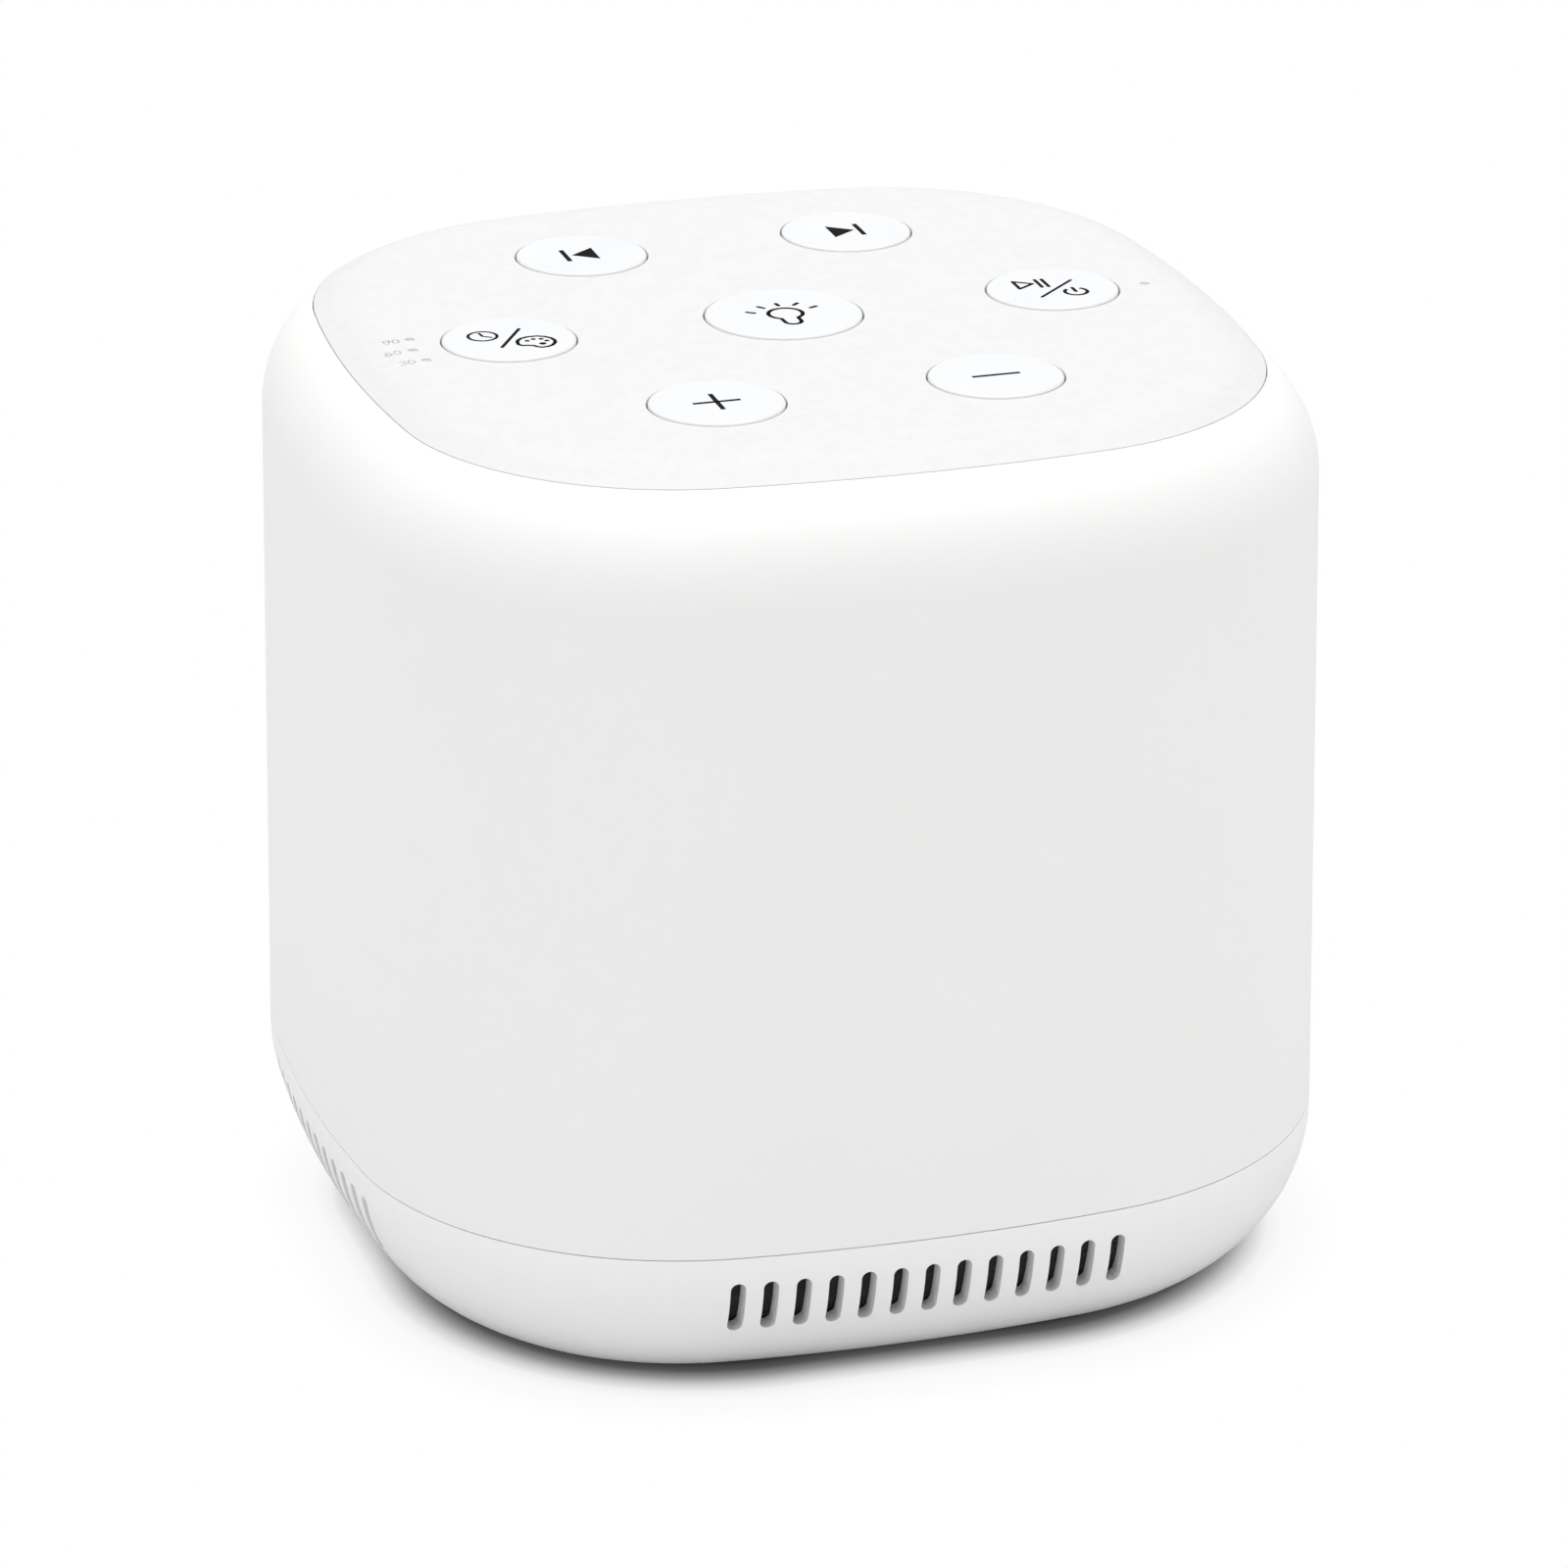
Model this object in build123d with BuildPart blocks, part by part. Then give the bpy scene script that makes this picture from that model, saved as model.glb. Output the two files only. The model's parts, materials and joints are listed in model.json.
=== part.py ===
from build123d import *
from math import asin, atan2, cos, degrees, radians, sin, sqrt, tan
import os

# White noise sound machine with a night light. A drafted translucent shade stands between a
# vented base and a flush button panel. Inside, a column on a deck carries the panel and its
# button board, a light board rings the foot of the column, and a small speaker fires down
# into the vented base.
#
# Millimetres, +Z up. The origin is on the table, under the middle of the four feet. The front,
# with the middle row of vents, faces -Y, the power inlet faces +Y.

# ---- Body outline, seen from above ----
overall_width = 100.0
corner_radius = 33.7
side_radius = 169.0

# ---- Heights ----
foot_standoff = 1.2
base_height = 16.8
top_height = 94.8

# ---- Base housing ----
base_wall = 2.4
base_band = 0.9
vent_count = 13
vent_pitch = 3.2
vent_width = 1.5
vent_length = 5.7
vent_drop = 5.55
vent_wall = 1.8
gauze_thickness = 0.4
gauze_gap = 0.1
gauze_border = 1.6
boss_wall = 1.2
boss_rib_length = 11.0
boss_rib_thickness = 1.2
boss_rib_drop = 0.8
head_sink = 1.2
vent_cut_depth = 8.0

# ---- Feet ----
foot_radius = 4.5
foot_recess = 1.0
foot_margin = 1.0
foot_edge = 0.4
foot_gap = 0.2

# ---- Shade and top panel ----
seam_gap = 0.1
shade_wall = 2.0
shade_draft = 0.73
shoulder_radius = 12.5
panel_opening_inset = 6.1
panel_gap = 0.1
panel_drop = 0.55
panel_thickness = 2.0
panel_rim_thickness = 1.9
panel_rim_width = 2.9
ledge_thickness = 1.6
ledge_width = 3.0

# ---- Buttons ----
button_ring_inset = 22.15
button_radius = 6.55
light_button_radius = 7.75
button_rise = 0.22
button_travel = 0.5
button_gap = 0.2
button_wall = 1.3
button_edge = 0.3
button_flange_width = 1.0
button_flange_thickness = 1.0
collar_wall = 1.2
collar_length = 2.4
key_width = 1.6
key_depth = 0.5
key_gap = 0.15
post_radius = 1.8

# ---- Button board and what is on it ----
board_thickness = 1.6
button_board_inset = 10.5
switch_size = 6.0
switch_body_height = 3.5
switch_height = 5.0
plunger_radius = 1.7
plunger_insert = 1.0
plunger_gap = 0.1
boss_radius = 3.0
board_screw_shift = 3.15
board_screw_turns = (30, 150, 210, 330)
board_boss_radius = 2.6
flange_clearance = 1.0
rest_gap = 0.05
led_length = 2.0
led_width = 1.25
led_height = 0.8
timer_led_inset = 13.0
timer_led_y = -0.15
timer_led_pitch = 3.3
timer_led_bow = 0.5
power_led_inset = 12.7
power_led_y = -0.65
pipe_tip_radius = 0.45
pipe_body_radius = 1.1
pipe_gap = 0.05
pipe_bridge = 1.2
pipe_sink = 0.1
pipe_led_gap = 0.3

# ---- Column and deck ----
deck_thickness = 2.0
deck_gap = 0.3
lip_height = 3.0
lip_thickness = 1.6
lip_gap = 0.3
column_wall = 1.8
column_flat = 15.0
column_draft = 0.5
column_foot_width = 8.0
column_foot_thickness = 2.0
tray_inset = 12.0
tray_thickness = 2.0
tray_clearance = 2.4
tray_margin = 0.3
deck_screw_y = 14.0
light_post_radius = 2.2
speaker_boss_radius = 2.4
speaker_boss_height = 3.0

# ---- Speaker ----
speaker_side_space = 25.0
speaker_flange_border = 2.7
speaker_flange_land = 5.0
speaker_flange_thickness = 1.0
gasket_thickness = 0.5
basket_wall = 0.8
basket_gap = 0.3
window_count = 6
window_width = 9.0
window_margin = 1.4
surround_seat_width = 2.0
surround_drop = 1.2
surround_thickness = 0.4
pleat_width = 2.3
pleat_depth = 1.6
cone_depth = 7.7
cone_thickness = 0.5
neck_radius = 7.1
former_thickness = 0.6
former_length = 10.2
dome_radius = 8.2
dome_height = 2.6
spider_inset = 4.9
spider_drop = 1.7
spider_thickness = 0.4
spider_waves = 3
spider_wave_height = 1.0
glue_gap = 0.05
winding_length = 4.0
winding_thickness = 0.25
spider_seat_width = 2.4
spider_land = 0.6
basket_step_height = 9.5
basket_depth = 11.5
magnet_radius = 16.0
magnet_hole_radius = 9.0
magnet_thickness = 6.0
pole_plate_radius = 14.5
pole_plate_thickness = 2.5
magnetic_gap = 0.6
pole_radius = 6.0

# ---- Light board ----
light_board_width = 10.0
light_board_gap = 1.0
light_board_rise = 3.0
light_led_size = 5.0
light_led_height = 1.6
light_led_pitch = 13.0
lens_radius = 2.1
lens_depth = 0.5
pin_size = 0.64
pin_pitch = 2.54
pin_count = 4
pin_gap = 0.7

# ---- Power board and inlet ----
power_board_width = 34.0
power_board_lap = 1.0
power_board_edge_gap = 6.3
power_screw_x = 13.5
power_screw_gap = 3.2
power_boss_radius = 2.5
inlet_width = 8.94
inlet_height = 3.26
inlet_depth = 7.35
inlet_wall = 0.35
inlet_gap = 0.2
inlet_pocket = 2.0
inlet_pocket_border = 1.3
tongue_width = 6.7
tongue_height = 0.7
tongue_length = 5.2

# ---- Cables inside ----
cable_gap = 1.6
ribbon_x = 8.0
ribbon_width = 12.7
ribbon_thickness = 0.9
wire_x = -7.5
wire_pitch = 2.5
wire_radius = 0.55
cable_slot_width = 2.6
cable_slot_border = 1.5
cable_bend = 2.2
header_gap = 1.0
header_depth = 4.0
header_height = 3.9
header_border = 0.7
board_header_height = 2.0
terminal_width = 7.0
terminal_depth = 4.0
terminal_height = 1.2
terminal_gap = 0.8

# ---- Chips ----
chip_height = 1.1
amplifier_size = 5.0
amplifier_x = 13.5
coil_x = 7.8
coil_size = 5.5
coil_height = 3.0
coil_corner_radius = 1.4
capacitor_radius = 2.5
capacitor_height = 4.5
controller_place = 12.0
controller_size = 7.0
memory_width = 5.2
memory_length = 4.0

# ---- Screws ----
large_screw_radius = 1.4
large_head_radius = 2.6
large_head_height = 1.6
small_screw_radius = 0.9
small_head_radius = 1.8
small_head_height = 1.2
screw_gap = 0.25
thread_gap = 0.05
housing_screw_length = 8.0
deck_screw_length = 7.0
light_screw_length = 5.0
panel_screw_length = 7.0
board_screw_length = 6.0
speaker_screw_length = 5.0
pilot_spare = 1.0

# ---- Worked out: outline ----
half_width = overall_width / 2
side_centre = half_width - side_radius
centre_distance = side_radius - corner_radius
corner_centre = (side_centre + sqrt(2 * centre_distance**2 - side_centre**2)) / 2
tangent_angle = degrees(atan2(corner_centre - side_centre, corner_centre))

# ---- Worked out: places that follow the outline ----
button_ring_radius = half_width - button_ring_inset
board_screw_ring = button_ring_radius + board_screw_shift
timer_led_x = timer_led_inset - half_width
power_led_x = half_width - power_led_inset
speaker_flange_width = overall_width - 2 * speaker_side_space
basket_radius = speaker_flange_width / 2 - speaker_flange_border
speaker_flange_reach = basket_radius + speaker_flange_land
cone_radius = basket_radius - surround_seat_width - pleat_width
spider_radius = basket_radius - spider_inset
cable_y = speaker_flange_width / 2 + cable_gap
header_y = cable_y + header_gap + cable_bend
power_screw_y = header_y + header_depth + power_screw_gap
pin_y = header_y + header_depth + pin_gap

# ---- Worked out: screw holes ----
large_clear_radius = large_screw_radius + screw_gap
large_pilot_radius = large_screw_radius + thread_gap
small_clear_radius = small_screw_radius + screw_gap
small_pilot_radius = small_screw_radius + thread_gap

# ---- Worked out: vents ----
vent_row_length = (vent_count - 1) * vent_pitch + vent_width

# ---- Worked out: levels ----
base_edge_radius = base_height - base_band
base_bottom = foot_standoff
base_floor = base_bottom + base_wall
seam_level = base_bottom + base_height
shade_bottom = seam_level + seam_gap
top_level = base_bottom + top_height
vent_level = seam_level - vent_drop
deck_bottom = seam_level - deck_thickness
panel_top = top_level - panel_drop
panel_underside = panel_top - panel_thickness


def outline(inset):
    """The body's plan as a face, drawn inset inwards: bowed sides and corners as tangent arcs."""
    with BuildSketch() as plan:
        with BuildLine():
            for turn in (0, 90, 180, 270):
                side = Vector(0, side_centre).rotate(Axis.Z, turn)
                corner = Vector(corner_centre, corner_centre).rotate(Axis.Z, turn)
                CenterArc(side, side_radius - inset, tangent_angle + turn, 180 - 2 * tangent_angle)
                CenterArc(corner, corner_radius - inset, 90 - tangent_angle + turn, 2 * tangent_angle - 90)
        make_face()
    return plan.sketch


def corner_reach(inset):
    """x, and y, of the middle of a corner of the outline that is drawn inset inwards."""
    return corner_centre + (corner_radius - inset) / sqrt(2)


def four_corners(place):
    """The four points at plus and minus place from the middle."""
    return [(x, y) for x in (-place, place) for y in (-place, place)]


def tub_block(inset):
    """The base's outer form, or its inside at the given wall: a block with a rounded lower edge."""
    with BuildPart() as block:
        with BuildSketch(Plane.XY.offset(base_bottom + inset)):
            add(outline(inset))
        extrude(amount=base_height - inset)
        fillet(block.faces().sort_by(Axis.Z)[0].edges(), radius=base_edge_radius - inset)
    return block.part


def vent_backing(inset, border, top):
    """The base's inside behind its three rows of vents, from the given wall inwards."""
    bottom = vent_level - vent_length / 2 - border
    with BuildPart() as backing:
        add(tub_block(inset))
        with BuildSketch(Plane.XY.offset(bottom)):
            for turn in (-90, 180, 90):
                middle = Vector(0, half_width).rotate(Axis.Z, turn)
                with Locations(Location((middle.X, middle.Y), turn)):
                    Rectangle(vent_row_length + 2 * border, 2 * vent_cut_depth)
        extrude(amount=top - bottom, mode=Mode.INTERSECT)
    return backing.part


def shade_block(inset):
    """The shade's outer form, or its inside at the given wall: drafted, with a round shoulder."""
    with BuildPart() as block:
        with BuildSketch(Plane.XY.offset(shade_bottom)):
            add(outline(inset))
        extrude(amount=top_level - inset - shade_bottom, taper=shade_draft)
        fillet(block.faces().sort_by(Axis.Z)[-1].edges(), radius=shoulder_radius - inset)
    return block.part


def rounded_square(half, radius):
    """A square with round corners, as a face."""
    with BuildSketch() as plan:
        RectangleRounded(2 * half, 2 * half, radius)
    return plan.sketch


def discs(places, radius, bottom, top):
    """Upright round bars between two levels at the given places."""
    with BuildPart() as group:
        with BuildSketch(Plane.XY.offset(bottom)):
            with Locations(*places):
                Circle(radius)
        extrude(amount=top - bottom)
    return group.part


def screws(places, seat_level, length, shank_radius, head_radius, head_height):
    """Pan-head screws whose heads bear at seat_level. A positive length points up from there."""
    head_side = -1 if length > 0 else 1
    with BuildPart() as group:
        add(discs(places, shank_radius, seat_level, seat_level + length))
        add(discs(places, head_radius, seat_level, seat_level + head_side * head_height))
    return group.part


os.makedirs("parts", exist_ok=True)

# ---- Rubber feet: four pads glued into round recesses under the base ----
foot_place = corner_reach(base_edge_radius) - (foot_radius + foot_margin) / sqrt(2)
foot_places = four_corners(foot_place)
foot_top = base_bottom + foot_recess

with BuildPart() as rubber_feet:
    add(discs(foot_places, foot_radius, 0, foot_top))
    chamfer(rubber_feet.faces().group_by(Axis.Z)[0].edges(), length=foot_edge)
rubber_feet.part.label = "rubber_feet"
export_step(rubber_feet.part, "parts/rubber_feet.step")

# ---- Base housing: a rounded tub with three rows of vents and the power inlet at the back ----
# Each foot recess hides a housing screw, whose head sits in a counterbore inside the boss.
head_ceiling = foot_top + head_sink + large_head_height
base_boss_top = head_ceiling + boss_wall
base_boss_radius = large_head_radius + screw_gap + boss_wall
recess_top = min(vent_level + vent_length / 2 + gauze_border + gauze_gap, deck_bottom)
inlet_mouth = half_width - inlet_pocket
inlet_level = vent_level
board_level = inlet_level - inlet_height / 2 - board_thickness
power_screw_places = [(-power_screw_x, power_screw_y), (power_screw_x, power_screw_y)]

with BuildPart() as base_housing:
    add(tub_block(0))
    add(tub_block(base_wall), mode=Mode.SUBTRACT)
    # Screw bosses with crossed ribs, and the power board's posts, stand on the floor.
    add(discs(foot_places, base_boss_radius, base_floor, base_boss_top))
    with BuildSketch(Plane.XY.offset(base_floor)):
        with Locations(*foot_places):
            Rectangle(boss_rib_length, boss_rib_thickness)
            Rectangle(boss_rib_thickness, boss_rib_length)
    extrude(amount=base_boss_top - boss_rib_drop - base_floor)
    add(discs(power_screw_places, power_boss_radius, base_floor, board_level))
    add(discs(foot_places, foot_radius + foot_gap, base_bottom, foot_top), mode=Mode.SUBTRACT)
    add(discs(foot_places, large_head_radius + screw_gap, foot_top, head_ceiling), mode=Mode.SUBTRACT)
    add(discs(foot_places, large_clear_radius, head_ceiling, base_boss_top), mode=Mode.SUBTRACT)
    add(discs(power_screw_places, small_pilot_radius, base_floor, board_level), mode=Mode.SUBTRACT)
    # Vents: round-ended slots cut level through the rounded wall, on the front and both sides. The
    # wall is thinner there, so the gauze lies in a shallow recess behind each row.
    add(vent_backing(vent_wall, gauze_border + gauze_gap, recess_top), mode=Mode.SUBTRACT)
    for turn in (-90, 0, 90):
        face = Plane.XZ.rotated((0, 0, turn)).offset(half_width)
        with BuildSketch(face):
            with Locations((0, vent_level)):
                with GridLocations(vent_pitch, 0, vent_count, 1):
                    SlotOverall(vent_length, vent_width, rotation=90)
        extrude(amount=-vent_cut_depth, mode=Mode.SUBTRACT)
    # Power inlet: a flat-floored pocket with the socket's opening in it.
    with BuildSketch(Plane.XZ.offset(-half_width)):
        with Locations((0, inlet_level)):
            SlotOverall(inlet_width + 2 * inlet_pocket_border, inlet_height + 2 * inlet_pocket_border)
    extrude(amount=inlet_pocket, mode=Mode.SUBTRACT)
    with BuildSketch(Plane.XZ.offset(-half_width)):
        with Locations((0, inlet_level)):
            SlotOverall(inlet_width + 2 * inlet_gap, inlet_height + 2 * inlet_gap)
    extrude(amount=vent_cut_depth, mode=Mode.SUBTRACT)
base_housing.part.label = "base_housing"
export_step(base_housing.part, "parts/base_housing.step")

# ---- Vent gauze: three thin curved strips in the recesses behind the vents ----
gauze_inset = vent_wall + gauze_gap

with BuildPart() as vent_gauze:
    add(vent_backing(gauze_inset, gauze_border, recess_top - gauze_gap))
    add(tub_block(gauze_inset + gauze_thickness), mode=Mode.SUBTRACT)
vent_gauze.part.label = "vent_gauze"
export_step(vent_gauze.part, "parts/vent_gauze.step")

# ---- Deck: closes the base, carries the speaker and the column, and locates the shade ----
column_inside = cable_y + cable_gap
column_half = column_inside + column_wall
column_corner_radius = column_half - column_flat
column_foot_half = column_half + column_foot_width
column_foot_top = seam_level + column_foot_thickness
deck_screw_x = column_half + column_foot_width / 2
deck_screw_places = [(x, y) for x in (-deck_screw_x, deck_screw_x) for y in (-deck_screw_y, deck_screw_y)]
deck_boss_bottom = column_foot_top - deck_screw_length - pilot_spare
speaker_screw_place = (speaker_flange_reach - small_head_radius - screw_gap) / sqrt(2)
speaker_screw_places = four_corners(speaker_screw_place)
basket_rim_radius = basket_radius + basket_wall
speaker_hole_radius = basket_rim_radius + basket_gap
housing_screw_top = head_ceiling + housing_screw_length
speaker_boss_top = seam_level + speaker_boss_height
cable_slot_left = wire_x - wire_pitch / 2 - wire_radius - cable_slot_border
cable_slot_right = ribbon_x + ribbon_width / 2 + cable_slot_border
pin_slot_length = (pin_count - 1) * pin_pitch + pin_size + 2 * cable_slot_border
pin_slot_width = pin_size + 2 * cable_slot_border

with BuildPart() as deck:
    with BuildSketch(Plane.XY.offset(deck_bottom)):
        add(outline(base_wall + deck_gap))
    extrude(amount=deck_thickness)
    # Upright lip just inside the shade's lower edge.
    with BuildSketch(Plane.XY.offset(seam_level)):
        add(outline(shade_wall + lip_gap))
        add(outline(shade_wall + lip_gap + lip_thickness), mode=Mode.SUBTRACT)
    extrude(amount=lip_height)
    # Posts down to the base's bosses, and short bosses for the column's and speaker's screws.
    add(discs(foot_places, base_boss_radius, base_boss_top, deck_bottom))
    add(discs(deck_screw_places, board_boss_radius, deck_boss_bottom, deck_bottom))
    add(discs(speaker_screw_places, speaker_boss_radius, seam_level, speaker_boss_top))
    add(discs(foot_places, large_pilot_radius, base_boss_top, housing_screw_top), mode=Mode.SUBTRACT)
    add(discs(deck_screw_places, small_pilot_radius, deck_boss_bottom, seam_level), mode=Mode.SUBTRACT)
    add(discs(speaker_screw_places, small_pilot_radius, deck_bottom, speaker_boss_top), mode=Mode.SUBTRACT)
    # Openings for the speaker, the cables and the light board's pins.
    with BuildSketch(Plane.XY.offset(deck_bottom)):
        Circle(speaker_hole_radius)
        with Locations(((cable_slot_left + cable_slot_right) / 2, cable_y)):
            SlotOverall(cable_slot_right - cable_slot_left, cable_slot_width)
        with Locations((0, pin_y)):
            SlotOverall(pin_slot_length, pin_slot_width)
    extrude(amount=deck_thickness, mode=Mode.SUBTRACT)
deck.part.label = "deck"
export_step(deck.part, "parts/deck.step")

# ---- Column: a drafted square tube with a foot on the deck and a tray at the top ----
collar_bottom = panel_underside - collar_length
cap_bottom = collar_bottom - rest_gap - button_flange_thickness
board_top = cap_bottom - button_travel - flange_clearance - switch_body_height
board_bottom = board_top - board_thickness
tray_top = board_bottom - tray_clearance
tray_bottom = tray_top - tray_thickness
panel_boss_place = corner_reach(tray_inset) - (boss_radius + tray_margin) / sqrt(2)
panel_boss_places = four_corners(panel_boss_place)
light_board_inside = column_half + light_board_gap
light_board_half = light_board_inside + light_board_width
light_corner_radius = column_corner_radius + light_board_gap
light_post_reach = light_corner_radius + light_board_width / 2
light_post_place = column_half - column_corner_radius + light_post_reach / sqrt(2)
light_post_places = four_corners(light_post_place)
light_board_bottom = column_foot_top + light_board_rise
light_board_top = light_board_bottom + board_thickness

with BuildPart() as column:
    with BuildSketch(Plane.XY.offset(seam_level)):
        add(rounded_square(column_half, column_corner_radius))
    extrude(amount=tray_bottom - seam_level, taper=column_draft)
    with BuildSketch(Plane.XY.offset(seam_level)):
        add(rounded_square(column_foot_half, column_corner_radius + column_foot_width / 2))
    extrude(amount=column_foot_thickness)
    with BuildSketch(Plane.XY.offset(seam_level)):
        add(rounded_square(column_inside, column_corner_radius - column_wall))
    extrude(amount=tray_bottom - seam_level, taper=column_draft, mode=Mode.SUBTRACT)
    with BuildSketch(Plane.XY.offset(tray_bottom)):
        add(outline(tray_inset))
        with Locations((ribbon_x, cable_y)):
            SlotOverall(ribbon_width + 2 * cable_slot_border, cable_slot_width, mode=Mode.SUBTRACT)
        with Locations(*panel_boss_places):
            Circle(small_clear_radius, mode=Mode.SUBTRACT)
    extrude(amount=tray_thickness)
    add(discs(light_post_places, light_post_radius, column_foot_top, light_board_bottom))
    add(discs(light_post_places, small_pilot_radius, seam_level, light_board_bottom), mode=Mode.SUBTRACT)
    add(discs(deck_screw_places, small_clear_radius, seam_level, column_foot_top), mode=Mode.SUBTRACT)
    with BuildSketch(Plane.XY.offset(seam_level)):
        with Locations((0, pin_y)):
            SlotOverall(pin_slot_length, pin_slot_width)
    extrude(amount=column_foot_thickness, mode=Mode.SUBTRACT)
column.part.label = "column"
export_step(column.part, "parts/column.step")

# ---- Diffuser shade: an open-ended shell with a ledge inside its top opening ----
shoulder_shift = (top_level - shoulder_radius - shade_bottom) * tan(radians(shade_draft))
rim_run = shoulder_shift + shoulder_radius - panel_opening_inset
rim_drop = shoulder_radius - sqrt(shoulder_radius**2 - rim_run**2)
ledge_top = top_level - rim_drop - panel_rim_thickness
shade_form = shade_block(0)
shade_hollow = shade_block(shade_wall)

with BuildPart() as diffuser_shade:
    with BuildSketch(Plane.XY.offset(ledge_top - ledge_thickness)):
        add(outline(0))
        add(outline(panel_opening_inset + ledge_width), mode=Mode.SUBTRACT)
    extrude(amount=ledge_thickness)
    add(shade_form, mode=Mode.INTERSECT)
    add(shade_form.cut(shade_hollow))
    with BuildSketch(Plane.XY.offset(ledge_top)):
        add(outline(panel_opening_inset))
    extrude(amount=top_level - ledge_top, mode=Mode.SUBTRACT)
diffuser_shade.part.label = "diffuser_shade"
export_step(diffuser_shade.part, "parts/diffuser_shade.step")

# ---- Button positions: one in the middle and six around it, counter-clockwise from +X ----
ring_names = ["power", "next", "previous", "timer", "volume_up", "volume_down"]
buttons = {"light": (Vector(0, 0), Vector(0, 1), light_button_radius)}
for step, name in enumerate(ring_names):
    outward = Vector(1, 0).rotate(Axis.Z, 360 / len(ring_names) * step)
    buttons[name] = (outward * button_ring_radius, -outward, button_radius)
button_places = [centre for centre, inward, radius in buttons.values()]
board_screw_places = [Vector(board_screw_ring, 0).rotate(Axis.Z, turn) for turn in board_screw_turns]
timer_led_places = [
    (timer_led_x, timer_led_y + timer_led_pitch),
    (timer_led_x - timer_led_bow, timer_led_y),
    (timer_led_x, timer_led_y - timer_led_pitch),
]
power_led_places = [(power_led_x, power_led_y)]
led_places = timer_led_places + power_led_places

# ---- Top panel: carries on the shoulder's slope from its rim and rounds off into a flat top ----
rim_slope = asin(rim_run / shoulder_radius)
panel_edge_radius = (rim_drop - panel_drop) / (1 - cos(rim_slope))
panel_form_inset = panel_opening_inset - panel_edge_radius * (1 - sin(rim_slope))
panel_form_height = 2 * panel_edge_radius
panel_pilot_top = tray_bottom + panel_screw_length + pilot_spare
board_pilot_top = board_bottom + board_screw_length + pilot_spare

with BuildPart() as top_panel:
    with BuildSketch(Plane.XY.offset(panel_top - panel_form_height)):
        add(outline(panel_form_inset))
    extrude(amount=panel_form_height)
    fillet(top_panel.faces().sort_by(Axis.Z)[-1].edges(), radius=panel_edge_radius)
    with BuildSketch(Plane.XY.offset(ledge_top)):
        add(outline(panel_opening_inset + panel_gap))
    extrude(amount=panel_top - ledge_top, mode=Mode.INTERSECT)
    with BuildSketch(Plane.XY.offset(ledge_top)):
        add(outline(panel_opening_inset + panel_gap + panel_rim_width))
    extrude(amount=panel_underside - ledge_top, mode=Mode.SUBTRACT)
    # A guide collar for each button, and bosses for the screws.
    with BuildSketch(Plane.XY.offset(collar_bottom)):
        for centre, inward, radius in buttons.values():
            with Locations(centre):
                Circle(radius + button_gap + collar_wall)
    extrude(amount=collar_length)
    add(discs(panel_boss_places, boss_radius, tray_top, panel_underside))
    add(discs(board_screw_places, board_boss_radius, board_top, panel_underside))
    with BuildSketch(Plane.XY.offset(collar_bottom)):
        for centre, inward, radius in buttons.values():
            with Locations(centre):
                Circle(radius + button_gap)
    extrude(amount=panel_top - collar_bottom, mode=Mode.SUBTRACT)
    # Key grooves in the collars stop short of the plate, so nothing of them shows from above.
    with BuildSketch(Plane.XY.offset(collar_bottom)):
        for centre, inward, radius in buttons.values():
            reach = radius + key_depth + key_gap
            groove = centre + inward * reach / 2
            turn = degrees(atan2(inward.Y, inward.X))
            with Locations(Location((groove.X, groove.Y), turn)):
                Rectangle(reach, key_width + 2 * key_gap)
    extrude(amount=collar_length, mode=Mode.SUBTRACT)
    add(discs(panel_boss_places, small_pilot_radius, tray_top, panel_pilot_top), mode=Mode.SUBTRACT)
    add(discs(board_screw_places, small_pilot_radius, board_top, board_pilot_top), mode=Mode.SUBTRACT)
    add(discs(led_places, pipe_tip_radius + pipe_gap, panel_underside, panel_top), mode=Mode.SUBTRACT)
top_panel.part.label = "top_panel"
export_step(top_panel.part, "parts/top_panel.step")

# ---- Buttons: a hollow keyed cap with a stop flange, resting on the plunger of its switch ----
cap_top = panel_top + button_rise
plunger_top = board_top + switch_height
plunger_bottom = board_top + switch_body_height - plunger_insert

for name, (centre, inward, radius) in buttons.items():
    with BuildPart() as cap:
        with BuildSketch(Plane.XY.offset(cap_bottom)):
            with Locations(centre):
                Circle(radius)
        extrude(amount=cap_top - cap_bottom)
        fillet(cap.faces().sort_by(Axis.Z)[-1].edges(), radius=button_edge)
        with BuildSketch(Plane.XY.offset(cap_bottom)):
            with Locations(centre):
                Circle(radius + button_flange_width)
        extrude(amount=button_flange_thickness)
        with BuildSketch(Plane.XY.offset(cap_bottom)):
            key = centre + inward * (radius + key_depth) / 2
            turn = degrees(atan2(inward.Y, inward.X))
            with Locations(Location((key.X, key.Y), turn)):
                Rectangle(radius + key_depth, key_width)
        extrude(amount=panel_underside - key_gap - cap_bottom)
        with BuildSketch(Plane.XY.offset(cap_bottom)):
            with Locations(centre):
                Circle(radius - button_wall)
        extrude(amount=cap_top - button_wall - cap_bottom, mode=Mode.SUBTRACT)
        with BuildSketch(Plane.XY.offset(plunger_top)):
            with Locations(centre):
                Circle(post_radius)
        extrude(amount=cap_top - button_wall - plunger_top)
    cap.part.label = f"{name}_button"
    export_step(cap.part, f"parts/{name}_button.step")

    with BuildPart() as plunger:
        with BuildSketch(Plane.XY.offset(plunger_bottom)):
            with Locations(centre):
                Circle(plunger_radius)
        extrude(amount=plunger_top - plunger_bottom)
    plunger.part.label = f"{name}_plunger"
    export_step(plunger.part, f"parts/{name}_plunger.step")

# ---- Switch bodies: seven square tact switches with a bore for the plunger ----
bore_bottom = plunger_bottom - button_travel - plunger_gap

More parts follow.
